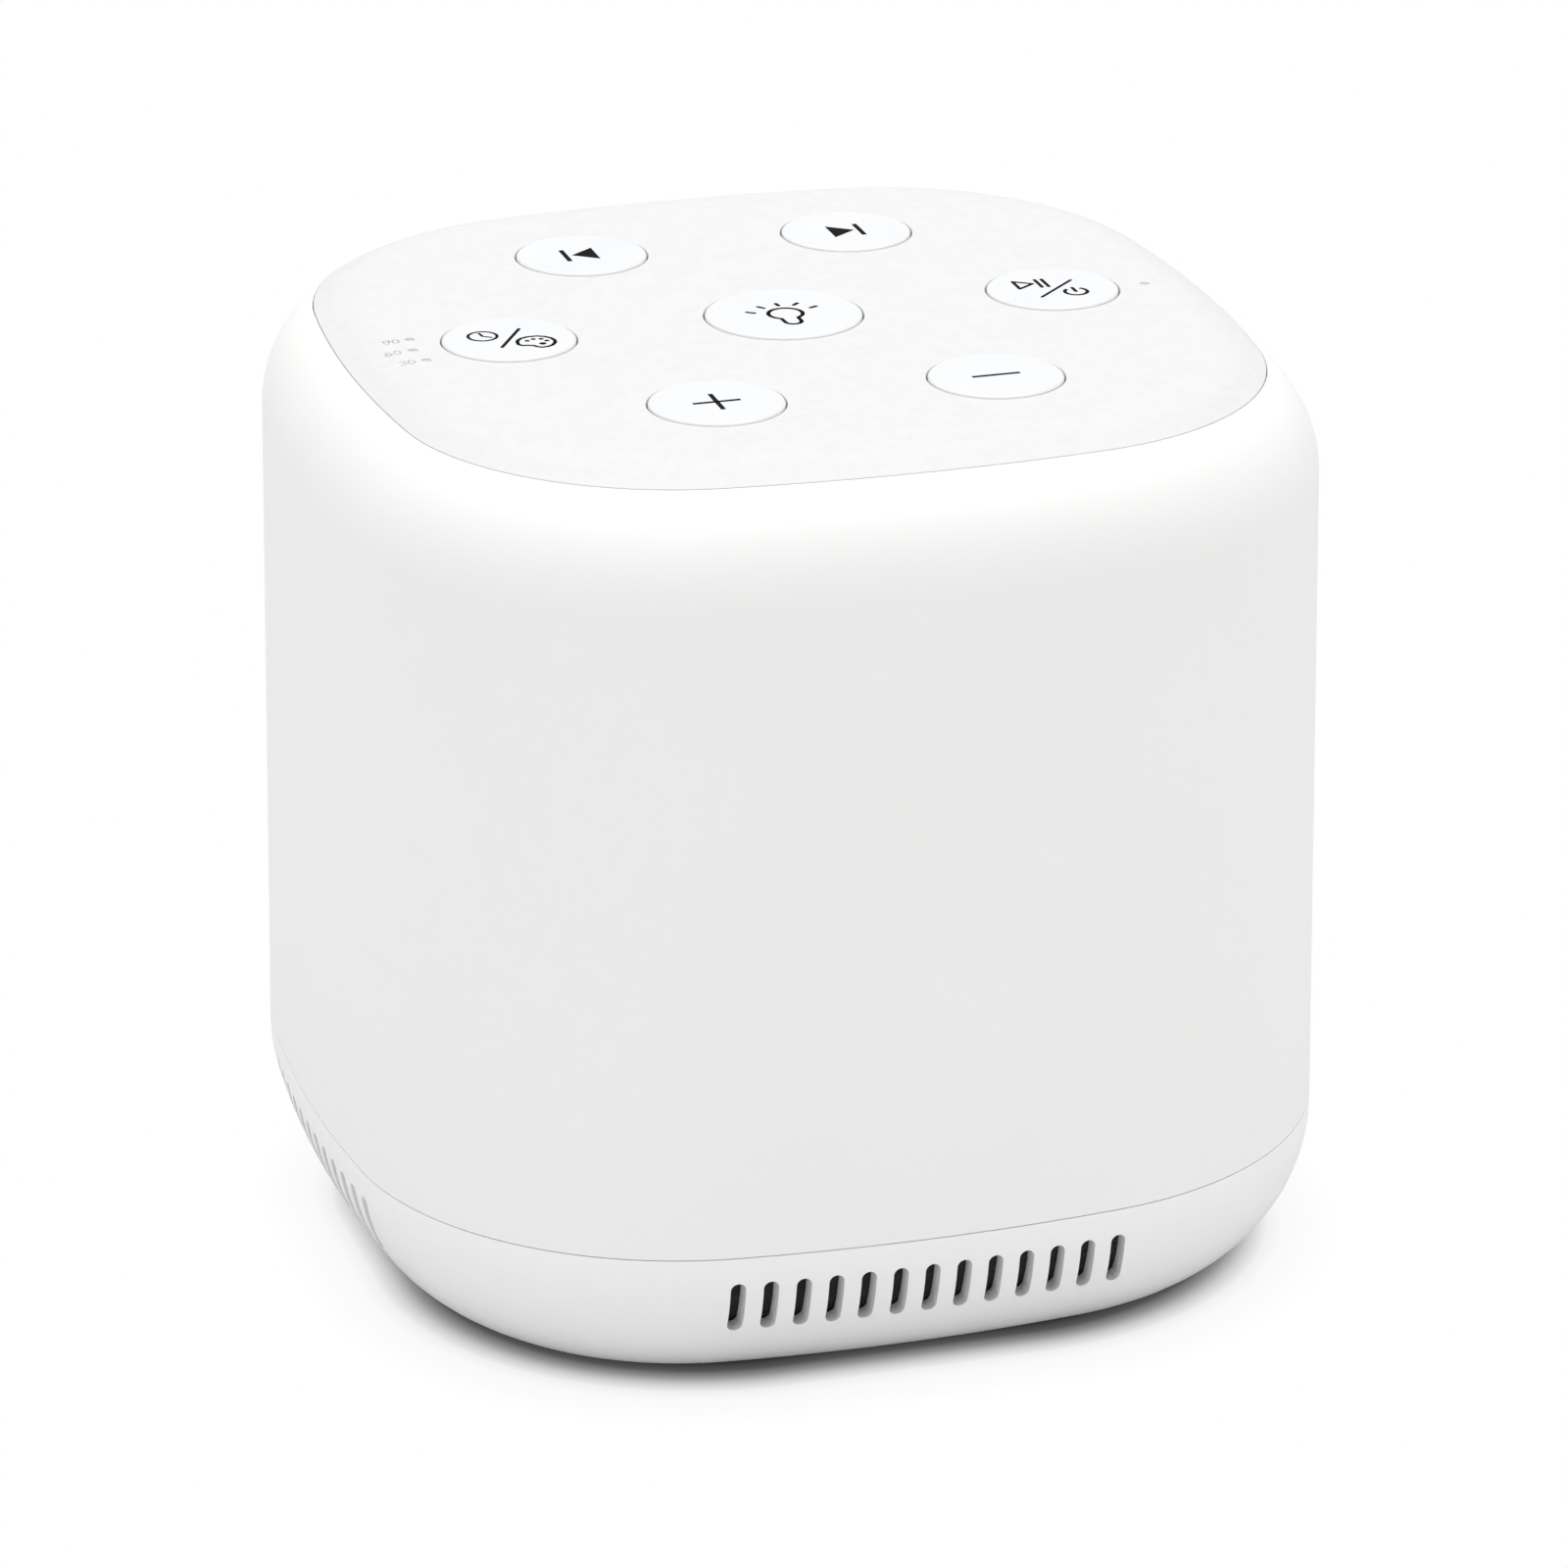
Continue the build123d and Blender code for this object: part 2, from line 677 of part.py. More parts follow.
with BuildPart() as switch_bodies:
    with BuildSketch(Plane.XY.offset(board_top)):
        with Locations(*button_places):
            Rectangle(switch_size, switch_size)
    extrude(amount=switch_body_height)
    add(discs(button_places, plunger_radius + plunger_gap, bore_bottom, plunger_top), mode=Mode.SUBTRACT)
switch_bodies.part.label = "switch_bodies"
export_step(switch_bodies.part, "parts/switch_bodies.step")

# ---- Button board: screwed under the panel, with holes for the panel's long bosses ----
with BuildPart() as button_board:
    with BuildSketch(Plane.XY.offset(board_bottom)):
        add(outline(button_board_inset))
        with Locations(*panel_boss_places):
            Circle(boss_radius + button_gap, mode=Mode.SUBTRACT)
        with Locations(*board_screw_places):
            Circle(small_clear_radius, mode=Mode.SUBTRACT)
    extrude(amount=board_thickness)
button_board.part.label = "button_board"
export_step(button_board.part, "parts/button_board.step")

# ---- Indicator LEDs on the button board, and the light pipes above them ----
with BuildPart() as indicator_leds:
    with BuildSketch(Plane.XY.offset(board_top)):
        with Locations(*led_places):
            Rectangle(led_width, led_length)
    extrude(amount=led_height)
indicator_leds.part.label = "indicator_leds"
export_step(indicator_leds.part, "parts/indicator_leds.step")

pipe_bottom = board_top + led_height + pipe_led_gap
pipe_shoulder = panel_underside - pipe_gap
pipe_top = panel_top - pipe_sink
bridge_middle = (pipe_bottom + pipe_shoulder) / 2

with BuildPart() as timer_light_pipe:
    add(discs(timer_led_places, pipe_body_radius, pipe_bottom, pipe_shoulder))
    add(discs(timer_led_places, pipe_tip_radius, pipe_shoulder, pipe_top))
    with BuildSketch(Plane.XY.offset(bridge_middle - pipe_bridge / 2)):
        with Locations((timer_led_x - timer_led_bow / 2, timer_led_y)):
            Rectangle(pipe_bridge, 2 * timer_led_pitch)
    extrude(amount=pipe_bridge)
timer_light_pipe.part.label = "timer_light_pipe"
export_step(timer_light_pipe.part, "parts/timer_light_pipe.step")

with BuildPart() as power_light_pipe:
    add(discs(power_led_places, pipe_body_radius, pipe_bottom, pipe_shoulder))
    add(discs(power_led_places, pipe_tip_radius, pipe_shoulder, pipe_top))
power_light_pipe.part.label = "power_light_pipe"
export_step(power_light_pipe.part, "parts/power_light_pipe.step")

# ---- Night-light board: a ring of LEDs on posts round the foot of the column ----
light_led_ring = light_board_inside + light_board_width / 2
light_led_places = [
    Vector(along, -light_led_ring).rotate(Axis.Z, turn)
    for turn in (0, 90, 180, 270)
    for along in (-light_led_pitch, 0, light_led_pitch)
]
light_led_top = light_board_top + light_led_height

with BuildPart() as light_board:
    with BuildSketch(Plane.XY.offset(light_board_bottom)):
        add(rounded_square(light_board_half, light_corner_radius + light_board_width))
        add(rounded_square(light_board_inside, light_corner_radius), mode=Mode.SUBTRACT)
        with Locations(*light_post_places):
            Circle(small_clear_radius, mode=Mode.SUBTRACT)
    extrude(amount=board_thickness)
light_board.part.label = "light_board"
export_step(light_board.part, "parts/light_board.step")

with BuildPart() as night_light_leds:
    with BuildSketch(Plane.XY.offset(light_board_top)):
        with Locations(*light_led_places):
            Rectangle(light_led_size, light_led_size)
    extrude(amount=light_led_height)
    with BuildSketch(Plane.XY.offset(light_led_top)):
        with Locations(*light_led_places):
            Circle(lens_radius)
    extrude(amount=-lens_depth, mode=Mode.SUBTRACT)
night_light_leds.part.label = "night_light_leds"
export_step(night_light_leds.part, "parts/night_light_leds.step")

# ---- Power board on its two posts, with the inlet, chips, and headers for the cables ----
power_board_top = board_level + board_thickness
power_board_front = header_y - power_board_lap
power_board_back = half_width - power_board_edge_gap
header_middle = header_y + header_depth / 2
ribbon_header_width = ribbon_width + 2 * header_border
wire_header_width = wire_pitch + 2 * wire_radius + 2 * header_border
cable_level = power_board_top + header_height / 2

with BuildPart() as power_board:
    with BuildSketch(Plane.XY.offset(board_level)):
        with Locations((0, (power_board_front + power_board_back) / 2)):
            RectangleRounded(power_board_width, power_board_back - power_board_front, small_head_radius)
        with Locations(*power_screw_places):
            Circle(small_clear_radius, mode=Mode.SUBTRACT)
    extrude(amount=board_thickness)
power_board.part.label = "power_board"
export_step(power_board.part, "parts/power_board.step")

with BuildPart() as board_headers:
    with BuildSketch(Plane.XY.offset(power_board_top)):
        with Locations((ribbon_x, header_middle)):
            Rectangle(ribbon_header_width, header_depth)
        with Locations((wire_x, header_middle)):
            Rectangle(wire_header_width, header_depth)
    extrude(amount=header_height)
    with BuildSketch(Plane.XY.offset(board_bottom)):
        with Locations((ribbon_x, cable_y)):
            Rectangle(ribbon_header_width, header_depth)
    extrude(amount=-board_header_height)
board_headers.part.label = "board_headers"
export_step(board_headers.part, "parts/board_headers.step")

with BuildPart() as light_board_pins:
    with BuildSketch(Plane.XY.offset(power_board_top)):
        with Locations((0, pin_y)):
            with GridLocations(pin_pitch, 0, pin_count, 1):
                Rectangle(pin_size, pin_size)
    extrude(amount=light_board_bottom - power_board_top)
light_board_pins.part.label = "light_board_pins"
export_step(light_board_pins.part, "parts/light_board_pins.step")

with BuildPart() as inlet_shell:
    with BuildSketch(Plane.XZ.offset(-inlet_mouth)):
        with Locations((0, inlet_level)):
            SlotOverall(inlet_width, inlet_height)
    extrude(amount=inlet_depth)
    with BuildSketch(Plane.XZ.offset(-inlet_mouth)):
        with Locations((0, inlet_level)):
            SlotOverall(inlet_width - 2 * inlet_wall, inlet_height - 2 * inlet_wall)
    extrude(amount=inlet_depth - inlet_wall, mode=Mode.SUBTRACT)
inlet_shell.part.label = "inlet_shell"
export_step(inlet_shell.part, "parts/inlet_shell.step")

with BuildPart() as inlet_tongue:
    with BuildSketch(Plane.XZ.offset(inlet_depth - inlet_wall - inlet_mouth)):
        with Locations((0, inlet_level)):
            Rectangle(tongue_width, tongue_height)
    extrude(amount=-tongue_length)
inlet_tongue.part.label = "inlet_tongue"
export_step(inlet_tongue.part, "parts/inlet_tongue.step")

# ---- Chips: amplifier and charger parts on the power board, the controller under the button board ----
with BuildPart() as power_components:
    with BuildSketch(Plane.XY.offset(power_board_top)):
        with Locations((-amplifier_x, power_screw_y - amplifier_size)):
            Rectangle(amplifier_size, amplifier_size)
    extrude(amount=chip_height)
    with BuildSketch(Plane.XY.offset(power_board_top)):
        with Locations((coil_x, power_screw_y)):
            RectangleRounded(coil_size, coil_size, coil_corner_radius)
    extrude(amount=coil_height)
    with BuildSketch(Plane.XY.offset(power_board_top)):
        with Locations((-coil_x, power_screw_y)):
            Circle(capacitor_radius)
    extrude(amount=capacitor_height)
power_components.part.label = "power_components"
export_step(power_components.part, "parts/power_components.step")

with BuildPart() as controller_chips:
    with BuildSketch(Plane.XY.offset(board_bottom)):
        with Locations((-controller_place, 0)):
            Rectangle(controller_size, controller_size)
        with Locations((controller_place, 0)):
            Rectangle(memory_width, memory_length)
        with Locations((0, -controller_place)):
            Rectangle(memory_length, memory_width)
    extrude(amount=-chip_height)
controller_chips.part.label = "controller_chips"
export_step(controller_chips.part, "parts/controller_chips.step")

# ---- Cables inside: the ribbon between the boards and the two speaker wires ----
ribbon_top = board_bottom - board_header_height
ribbon_points = [(header_y, cable_level), (cable_y, cable_level), (cable_y, ribbon_top)]

with BuildPart() as ribbon_cable:
    with BuildLine(Plane.YZ.offset(ribbon_x)) as ribbon_path:
        FilletPolyline(*ribbon_points, radius=cable_bend)
    with BuildSketch(ribbon_path.line ^ 0):
        Rectangle(ribbon_thickness, ribbon_width)
    sweep()
ribbon_cable.part.label = "ribbon_cable"
export_step(ribbon_cable.part, "parts/ribbon_cable.step")

# ---- Speaker: basket, magnet system and terminals, fixed under the deck and firing down ----
flange_top = deck_bottom - gasket_thickness
flange_bottom = flange_top - speaker_flange_thickness
seat_radius = basket_radius - surround_seat_width
step_level = flange_top + basket_step_height
step_radius = spider_radius + basket_gap
neck_ring_radius = step_radius - spider_seat_width
magnet_seat = flange_top + basket_depth
plate_bottom = magnet_seat + basket_wall
plate_top = plate_bottom + pole_plate_thickness
magnet_top = plate_top + magnet_thickness
former_outer = neck_radius
former_inner = neck_radius - former_thickness
plate_hole_radius = former_outer + magnetic_gap
window_bottom = flange_top + basket_wall + window_margin
window_top = step_level - window_margin


def flange_plan():
    """The speaker's flange: a square with its corners cut round."""
    with BuildSketch() as plan:
        Rectangle(speaker_flange_width, speaker_flange_width)
        Circle(speaker_flange_reach, mode=Mode.INTERSECT)
        with Locations(*speaker_screw_places):
            Circle(small_clear_radius, mode=Mode.SUBTRACT)
    return plan.sketch


def ring(outer, inner, level, height):
    """An upright flat ring on the axis."""
    with BuildPart() as part:
        with BuildSketch(Plane.XY.offset(level)):
            Circle(outer)
            Circle(inner, mode=Mode.SUBTRACT)
        extrude(amount=height)
    return part.part


with BuildPart() as speaker_gasket:
    with BuildSketch(Plane.XY.offset(flange_top)):
        add(flange_plan())
        Circle(speaker_hole_radius, mode=Mode.SUBTRACT)
    extrude(amount=gasket_thickness)
speaker_gasket.part.label = "speaker_gasket"
export_step(speaker_gasket.part, "parts/speaker_gasket.step")

basket_points = [
    (basket_rim_radius, flange_bottom),
    (basket_radius, flange_bottom),
    (basket_radius, flange_top),
    (seat_radius, flange_top),
    (step_radius, step_level),
    (neck_ring_radius, step_level),
    (neck_ring_radius - basket_wall, magnet_seat),
    (plate_hole_radius, magnet_seat),
    (plate_hole_radius, plate_bottom),
    (neck_ring_radius, plate_bottom),
    (neck_ring_radius + basket_wall, step_level + basket_wall),
    (step_radius + basket_wall, step_level + basket_wall),
    (seat_radius + basket_wall, flange_top + basket_wall),
    (basket_rim_radius, flange_top + basket_wall),
]

with BuildPart() as speaker_basket:
    with BuildSketch(Plane.XZ):
        with BuildLine():
            Polyline(*basket_points, close=True)
        make_face()
    revolve(axis=Axis.Z)
    with BuildSketch(Plane.XY.offset(flange_bottom)):
        add(flange_plan())
        Circle(basket_radius, mode=Mode.SUBTRACT)
    extrude(amount=speaker_flange_thickness)
    with BuildSketch(Plane.XY.offset(window_bottom)):
        with PolarLocations(seat_radius, window_count, start_angle=360 / window_count / 2):
            Rectangle(2 * surround_seat_width + 2 * basket_wall, window_width)
    extrude(amount=window_top - window_bottom, mode=Mode.SUBTRACT)
speaker_basket.part.label = "speaker_basket"
export_step(speaker_basket.part, "parts/speaker_basket.step")

with BuildPart() as pole_plate:
    add(ring(pole_plate_radius, plate_hole_radius, plate_bottom, pole_plate_thickness))
pole_plate.part.label = "pole_plate"
export_step(pole_plate.part, "parts/pole_plate.step")

with BuildPart() as speaker_magnet:
    add(ring(magnet_radius, magnet_hole_radius, plate_top, magnet_thickness))
speaker_magnet.part.label = "speaker_magnet"
export_step(speaker_magnet.part, "parts/speaker_magnet.step")

with BuildPart() as yoke:
    add(discs([(0, 0)], pole_plate_radius, magnet_top, magnet_top + pole_plate_thickness))
    add(discs([(0, 0)], pole_radius, plate_bottom, magnet_top))
yoke.part.label = "yoke"
export_step(yoke.part, "parts/yoke.step")

# ---- Speaker cone: cone, dome and voice coil move together between the surround and the spider ----
rim_level = flange_top - surround_drop
cone_slope = (cone_depth - cone_thickness) / (cone_radius - neck_radius - glue_gap)
neck_level = rim_level + cone_depth - cone_thickness
dome_level = rim_level + cone_slope * (cone_radius - dome_radius) - glue_gap
spider_top = step_level
spider_outer_radius = step_radius - glue_gap
spider_inner_radius = neck_radius + glue_gap
wave_span = spider_outer_radius - spider_seat_width - spider_land - spider_inner_radius
wave_length = wave_span / (2 * spider_waves)

with BuildPart() as speaker_cone:
    with BuildSketch(Plane.XZ):
        with BuildLine():
            Polyline(
                (cone_radius, rim_level),
                (cone_radius, rim_level + cone_thickness),
                (neck_radius + glue_gap, neck_level + cone_thickness),
                (neck_radius + glue_gap, neck_level),
                close=True,
            )
        make_face()
    revolve(axis=Axis.Z)
speaker_cone.part.label = "speaker_cone"
export_step(speaker_cone.part, "parts/speaker_cone.step")

with BuildPart() as dust_cap:
    with BuildSketch(Plane.XZ):
        with BuildLine():
            dome = ThreePointArc(
                (-dome_radius, dome_level),
                (0, dome_level - dome_height),
                (dome_radius, dome_level),
            )
            inner_dome = ThreePointArc(
                (-dome_radius + cone_thickness, dome_level),
                (0, dome_level - dome_height + cone_thickness),
                (dome_radius - cone_thickness, dome_level),
            )
            Line(dome @ 0, inner_dome @ 0)
            Line(dome @ 1, inner_dome @ 1)
        make_face()
        with Locations((0, dome_level)):
            Rectangle(2 * dome_radius, 2 * dome_height, align=(Align.MAX, Align.CENTER), mode=Mode.SUBTRACT)
    revolve(axis=Axis.Z)
dust_cap.part.label = "dust_cap"
export_step(dust_cap.part, "parts/dust_cap.step")

with BuildPart() as voice_coil_former:
    add(ring(former_outer, former_inner, neck_level, former_length))
voice_coil_former.part.label = "voice_coil_former"
export_step(voice_coil_former.part, "parts/voice_coil_former.step")

winding_bottom = plate_bottom + pole_plate_thickness / 2 - winding_length / 2

with BuildPart() as voice_coil:
    add(
        ring(
            former_outer + glue_gap + winding_thickness,
            former_outer + glue_gap,
            winding_bottom,
            winding_length,
        )
    )
voice_coil.part.label = "voice_coil"
export_step(voice_coil.part, "parts/voice_coil.step")

# The surround and the spider are pleated sheets. Each profile runs from the outside inwards.


def pleated_sheet(points, thickness):
    """A sheet of revolution whose upper face runs through the given (radius, level) points."""
    lower = [(radius, level - thickness) for radius, level in reversed(points)]
    with BuildPart() as sheet:
        with BuildSketch(Plane.XZ):
            with BuildLine():
                Polyline(*points, *lower, close=True)
            make_face()
        revolve(axis=Axis.Z)
    return sheet.part


# The surround has one deep pleat between the basket's seat and the cone's rim.
pleat_middle = seat_radius - pleat_width / 2
surround_points = [
    (basket_radius - glue_gap, flange_top),
    (seat_radius, flange_top),
    (pleat_middle, flange_top - surround_drop - pleat_depth),
    (cone_radius, rim_level),
    (cone_radius - surround_seat_width / 2, rim_level),
]

with BuildPart() as surround:
    add(pleated_sheet(surround_points, surround_thickness))
surround.part.label = "surround"
export_step(surround.part, "parts/surround.step")

# The spider is cupped, with waves between the basket's step and the coil's former.
spider_points = [(spider_outer_radius, spider_top)]
for fold in range(2 * spider_waves + 1):
    slope_drop = spider_drop * fold / (2 * spider_waves)
    wave_dip = spider_wave_height * (fold % 2)
    radius = spider_outer_radius - spider_seat_width - fold * wave_length
    spider_points.append((radius, spider_top - slope_drop - wave_dip))
spider_points.append((spider_inner_radius, spider_top - spider_drop))

with BuildPart() as spider:
    add(pleated_sheet(spider_points, spider_thickness))
spider.part.label = "spider"
export_step(spider.part, "parts/spider.step")

# ---- Speaker terminals on the basket's step, and the wires down to the power board ----
terminal_bottom = step_level + basket_wall
terminal_clear = neck_ring_radius + basket_wall + terminal_gap
terminal_front = sqrt(terminal_clear**2 - (abs(wire_x) - terminal_width / 2) ** 2)
wire_start = terminal_front + terminal_depth
wire_level = terminal_bottom + terminal_height / 2

with BuildPart() as speaker_terminals:
    with BuildSketch(Plane.XY.offset(terminal_bottom)):
        with Locations((wire_x, terminal_front)):
            Rectangle(terminal_width, terminal_depth, align=(Align.CENTER, Align.MIN))
    extrude(amount=terminal_height)
speaker_terminals.part.label = "speaker_terminals"
export_step(speaker_terminals.part, "parts/speaker_terminals.step")

wire_points = [
    (wire_start, wire_level),
    (cable_y, wire_level),
    (cable_y, cable_level),
    (header_y, cable_level),
]

with BuildPart() as speaker_wires:
    for side in (-1, 1):
        with BuildLine(Plane.YZ.offset(wire_x + side * wire_pitch / 2)) as wire_path:
            FilletPolyline(*wire_points, radius=cable_bend)
        with BuildSketch(wire_path.line ^ 0):
            Circle(wire_radius)
        sweep(path=wire_path.line)
speaker_wires.part.label = "speaker_wires"
export_step(speaker_wires.part, "parts/speaker_wires.step")

# ---- Screws ----
small = (small_screw_radius, small_head_radius, small_head_height)
large = (large_screw_radius, large_head_radius, large_head_height)

with BuildPart() as housing_screws:
    add(screws(foot_places, head_ceiling, housing_screw_length, *large))
housing_screws.part.label = "housing_screws"
export_step(housing_screws.part, "parts/housing_screws.step")

with BuildPart() as column_screws:
    add(screws(deck_screw_places, column_foot_top, -deck_screw_length, *small))
column_screws.part.label = "column_screws"
export_step(column_screws.part, "parts/column_screws.step")

with BuildPart() as panel_screws:
    add(screws(panel_boss_places, tray_bottom, panel_screw_length, *small))
panel_screws.part.label = "panel_screws"
export_step(panel_screws.part, "parts/panel_screws.step")

with BuildPart() as button_board_screws:
    add(screws(board_screw_places, board_bottom, board_screw_length, *small))
button_board_screws.part.label = "button_board_screws"
export_step(button_board_screws.part, "parts/button_board_screws.step")

with BuildPart() as speaker_screws:
    add(screws(speaker_screw_places, flange_bottom, speaker_screw_length, *small))
speaker_screws.part.label = "speaker_screws"
export_step(speaker_screws.part, "parts/speaker_screws.step")

with BuildPart() as light_board_screws:
    add(screws(light_post_places, light_board_top, -light_screw_length, *small))
light_board_screws.part.label = "light_board_screws"
export_step(light_board_screws.part, "parts/light_board_screws.step")

with BuildPart() as power_board_screws:
    add(screws(power_screw_places, power_board_top, -light_screw_length, *small))
power_board_screws.part.label = "power_board_screws"
export_step(power_board_screws.part, "parts/power_board_screws.step")
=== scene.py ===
# %% [markdown]
# # White noise sound machine: the looks
#
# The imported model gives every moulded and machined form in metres, +Z up, with the front towards
# -Y. This script loads it as a fixed frame and adds what a surface shows close up: the plastics,
# rubber, metals and boards as node materials, the printed signs on the buttons, the numerals by
# the indicator lights, the screws with their threads, and a studio to stand the machine in.

import json
from math import atan2, cos, pi, radians, sin

import bmesh
import bpy
from mathutils import Matrix, Vector
from mathutils.bvhtree import BVHTree
from mathutils.geometry import tessellate_polygon


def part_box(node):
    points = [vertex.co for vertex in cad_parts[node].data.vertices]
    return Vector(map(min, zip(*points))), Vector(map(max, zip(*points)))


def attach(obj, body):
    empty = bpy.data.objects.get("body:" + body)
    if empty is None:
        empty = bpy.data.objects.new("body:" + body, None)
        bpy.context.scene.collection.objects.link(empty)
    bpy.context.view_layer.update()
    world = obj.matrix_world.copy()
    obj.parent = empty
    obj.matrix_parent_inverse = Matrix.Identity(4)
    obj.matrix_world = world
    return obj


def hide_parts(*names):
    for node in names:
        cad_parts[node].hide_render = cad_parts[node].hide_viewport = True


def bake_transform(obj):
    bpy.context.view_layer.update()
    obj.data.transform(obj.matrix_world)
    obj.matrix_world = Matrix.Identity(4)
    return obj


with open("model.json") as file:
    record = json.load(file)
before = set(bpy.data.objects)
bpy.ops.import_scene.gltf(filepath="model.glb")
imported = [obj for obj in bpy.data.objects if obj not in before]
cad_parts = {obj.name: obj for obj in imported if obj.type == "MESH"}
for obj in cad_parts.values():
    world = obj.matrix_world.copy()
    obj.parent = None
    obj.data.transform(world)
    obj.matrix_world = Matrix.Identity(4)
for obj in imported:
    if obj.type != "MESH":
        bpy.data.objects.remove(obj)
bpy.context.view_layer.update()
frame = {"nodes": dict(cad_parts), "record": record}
NODES = frame["nodes"]
MM = 1000  # millimetres in a metre

# %% [markdown]
# ## Shared node groups
#
# A moulded or machined surface is never one flat value. Two groups make the variation that most
# of the materials share: a cloudy drift of colour and gloss, and a fine grain for the bump. They
# could be copied into each material, but one group keeps the scale and the meaning of each value
# in one place. Coordinates are the object's own, so the pattern stays on a button when it is
# pressed.

# %% Node helpers
NOISE_LOW, NOISE_HIGH = 0.3, 0.7  # noise seldom leaves this range


def link(tree, source, target):
    """Joins one socket to another."""
    tree.links.new(source, target)


def new_group(name, inputs, outputs):
    """An empty shader group with float inputs, given as name and default, and named outputs."""
    group = bpy.data.node_groups.new(name, "ShaderNodeTree")
    for label, default in inputs:
        socket = group.interface.new_socket(label, in_out="INPUT", socket_type="NodeSocketFloat")
        socket.default_value = default
    for label in outputs:
        group.interface.new_socket(label, in_out="OUTPUT", socket_type="NodeSocketFloat")
    print("group", name, "takes", [label for label, default in inputs], "and gives", outputs)
    return group, group.nodes.new("NodeGroupInput"), group.nodes.new("NodeGroupOutput")


def math_node(tree, operation, first, second=0):
    """A math node; its inputs are sockets or numbers, and a sine or a size needs only the first."""
    node = tree.nodes.new("ShaderNodeMath")
    node.operation = operation
    for socket, value in zip(node.inputs, (first, second)):
        if isinstance(value, (int, float)):
            socket.default_value = value
        else:
            link(tree, value, socket)
    return node.outputs[0]


def remap(tree, source, low, high, start=NOISE_LOW, stop=NOISE_HIGH):
    """The source's range from start to stop, stretched between low and high."""
    node = tree.nodes.new("ShaderNodeMapRange")
    link(tree, source, node.inputs["Value"])
    node.inputs["From Min"].default_value = start
    node.inputs["From Max"].default_value = stop
    node.inputs["To Min"].default_value = low
    node.inputs["To Max"].default_value = high
    return node.outputs["Result"]


def sized_noise(group, group_in, detail):
    """Noise in the object's own coordinates, with its size in mm from the group's input."""
    place = group.nodes.new("ShaderNodeTexCoord")
    noise = group.nodes.new("ShaderNodeTexNoise")
    noise.inputs["Detail"].default_value = detail
    link(group, place.outputs["Object"], noise.inputs["Vector"])
    link(group, math_node(group, "DIVIDE", MM, group_in.outputs["Size mm"]), noise.inputs["Scale"])
    return noise


# %% Group: cloudy drift between 0 and 1
drift_group, drift_in, drift_out = new_group("Cloudy drift", [("Size mm", 12.0)], ["Drift"])
drift_noise = sized_noise(drift_group, drift_in, 3.0)
link(drift_group, drift_noise.outputs["Fac"], drift_out.inputs["Drift"])

# %% Group: fine grain, as a spark-eroded mould leaves it
grain_group, grain_in, grain_out = new_group("Mould grain", [("Size mm", 0.35)], ["Height"])
grain_noise = sized_noise(grain_group, grain_in, 2.0)
grain_noise.inputs["Roughness"].default_value = 0.6
link(grain_group, grain_noise.outputs["Fac"], grain_out.inputs["Height"])

# %% [markdown]
# Cloth, a winding and a board's tracks are regular, which noise can't be. Threads and turns are
# sine waves along the object's own axes: an image of cloth would need an unwrapped mesh and
# would blur close up, and modelled threads would need millions of faces. The tracks are the
# joints of a brick pattern. A mask of level faces comes with them, because a board's sawn edge
# shows bare laminate. The same mask paints the sides of the panel and the buttons paler than
# their tops, as painted light that lifts the shade in the gaps round them.

# %% Group: plain weave, threads going over and under each other
WEAVE_DIP = 0.3  # how much a crossing lifts one thread over the other


def own_axes(group, kind="Object"):
    """X, Y and Z of the object's own coordinates, or of its normals."""
    place = group.nodes.new("ShaderNodeTexCoord")
    axes = group.nodes.new("ShaderNodeSeparateXYZ")
    link(group, place.outputs[kind], axes.inputs[0])
    return [axes.outputs[axis] for axis in "XYZ"]


def wave(group, place, per_mm):
    """A sine along place, which swings from zero to zero per_mm times in a millimetre."""
    turns = math_node(group, "MULTIPLY", per_mm, MM * pi)
    return math_node(group, "SINE", math_node(group, "MULTIPLY", place, turns))


weave_group, weave_in, weave_out = new_group("Plain weave", [("Threads per mm", 3.0)], ["Height"])
weave_x, weave_y, weave_z = own_axes(weave_group)
weave_along = math_node(weave_group, "ADD", weave_x, weave_y)
weave_across = math_node(weave_group, "ADD", weave_z,
                         math_node(weave_group, "SUBTRACT", weave_y, weave_x))
weave_waves = [wave(weave_group, way, weave_in.outputs["Threads per mm"])
               for way in (weave_along, weave_across)]
weave_thread = math_node(weave_group, "MAXIMUM", *[math_node(weave_group, "ABSOLUTE", each)
                                                   for each in weave_waves])
weave_over = math_node(weave_group, "MULTIPLY", math_node(weave_group, "MULTIPLY", *weave_waves),
                       WEAVE_DIP)
link(weave_group, math_node(weave_group, "ADD", weave_thread, weave_over),
     weave_out.inputs["Height"])

# %% Group: round wires side by side, wound about the upright axis
wire_group, wire_in, wire_out = new_group("Wire turns", [("Turns per mm", 4.0)], ["Height"])
wire_wave = wave(wire_group, own_axes(wire_group)[2], wire_in.outputs["Turns per mm"])
link(wire_group, math_node(wire_group, "ABSOLUTE", wire_wave), wire_out.inputs["Height"])

# %% Group: 1 on faces that lie level, 0 on the sides; Up leaves out the faces that look down
LEVEL_START, LEVEL_FULL = 0.55, 0.9
level_group, _, level_out = new_group("Level faces", [], ["Up", "Up or down"])
upright = own_axes(level_group, "Normal")[2]
level_tilts = {"Up": upright, "Up or down": math_node(level_group, "ABSOLUTE", upright)}
for label, tilt in level_tilts.items():
    link(level_group, remap(level_group, tilt, 0.0, 1.0, LEVEL_START, LEVEL_FULL),
         level_out.inputs[label])

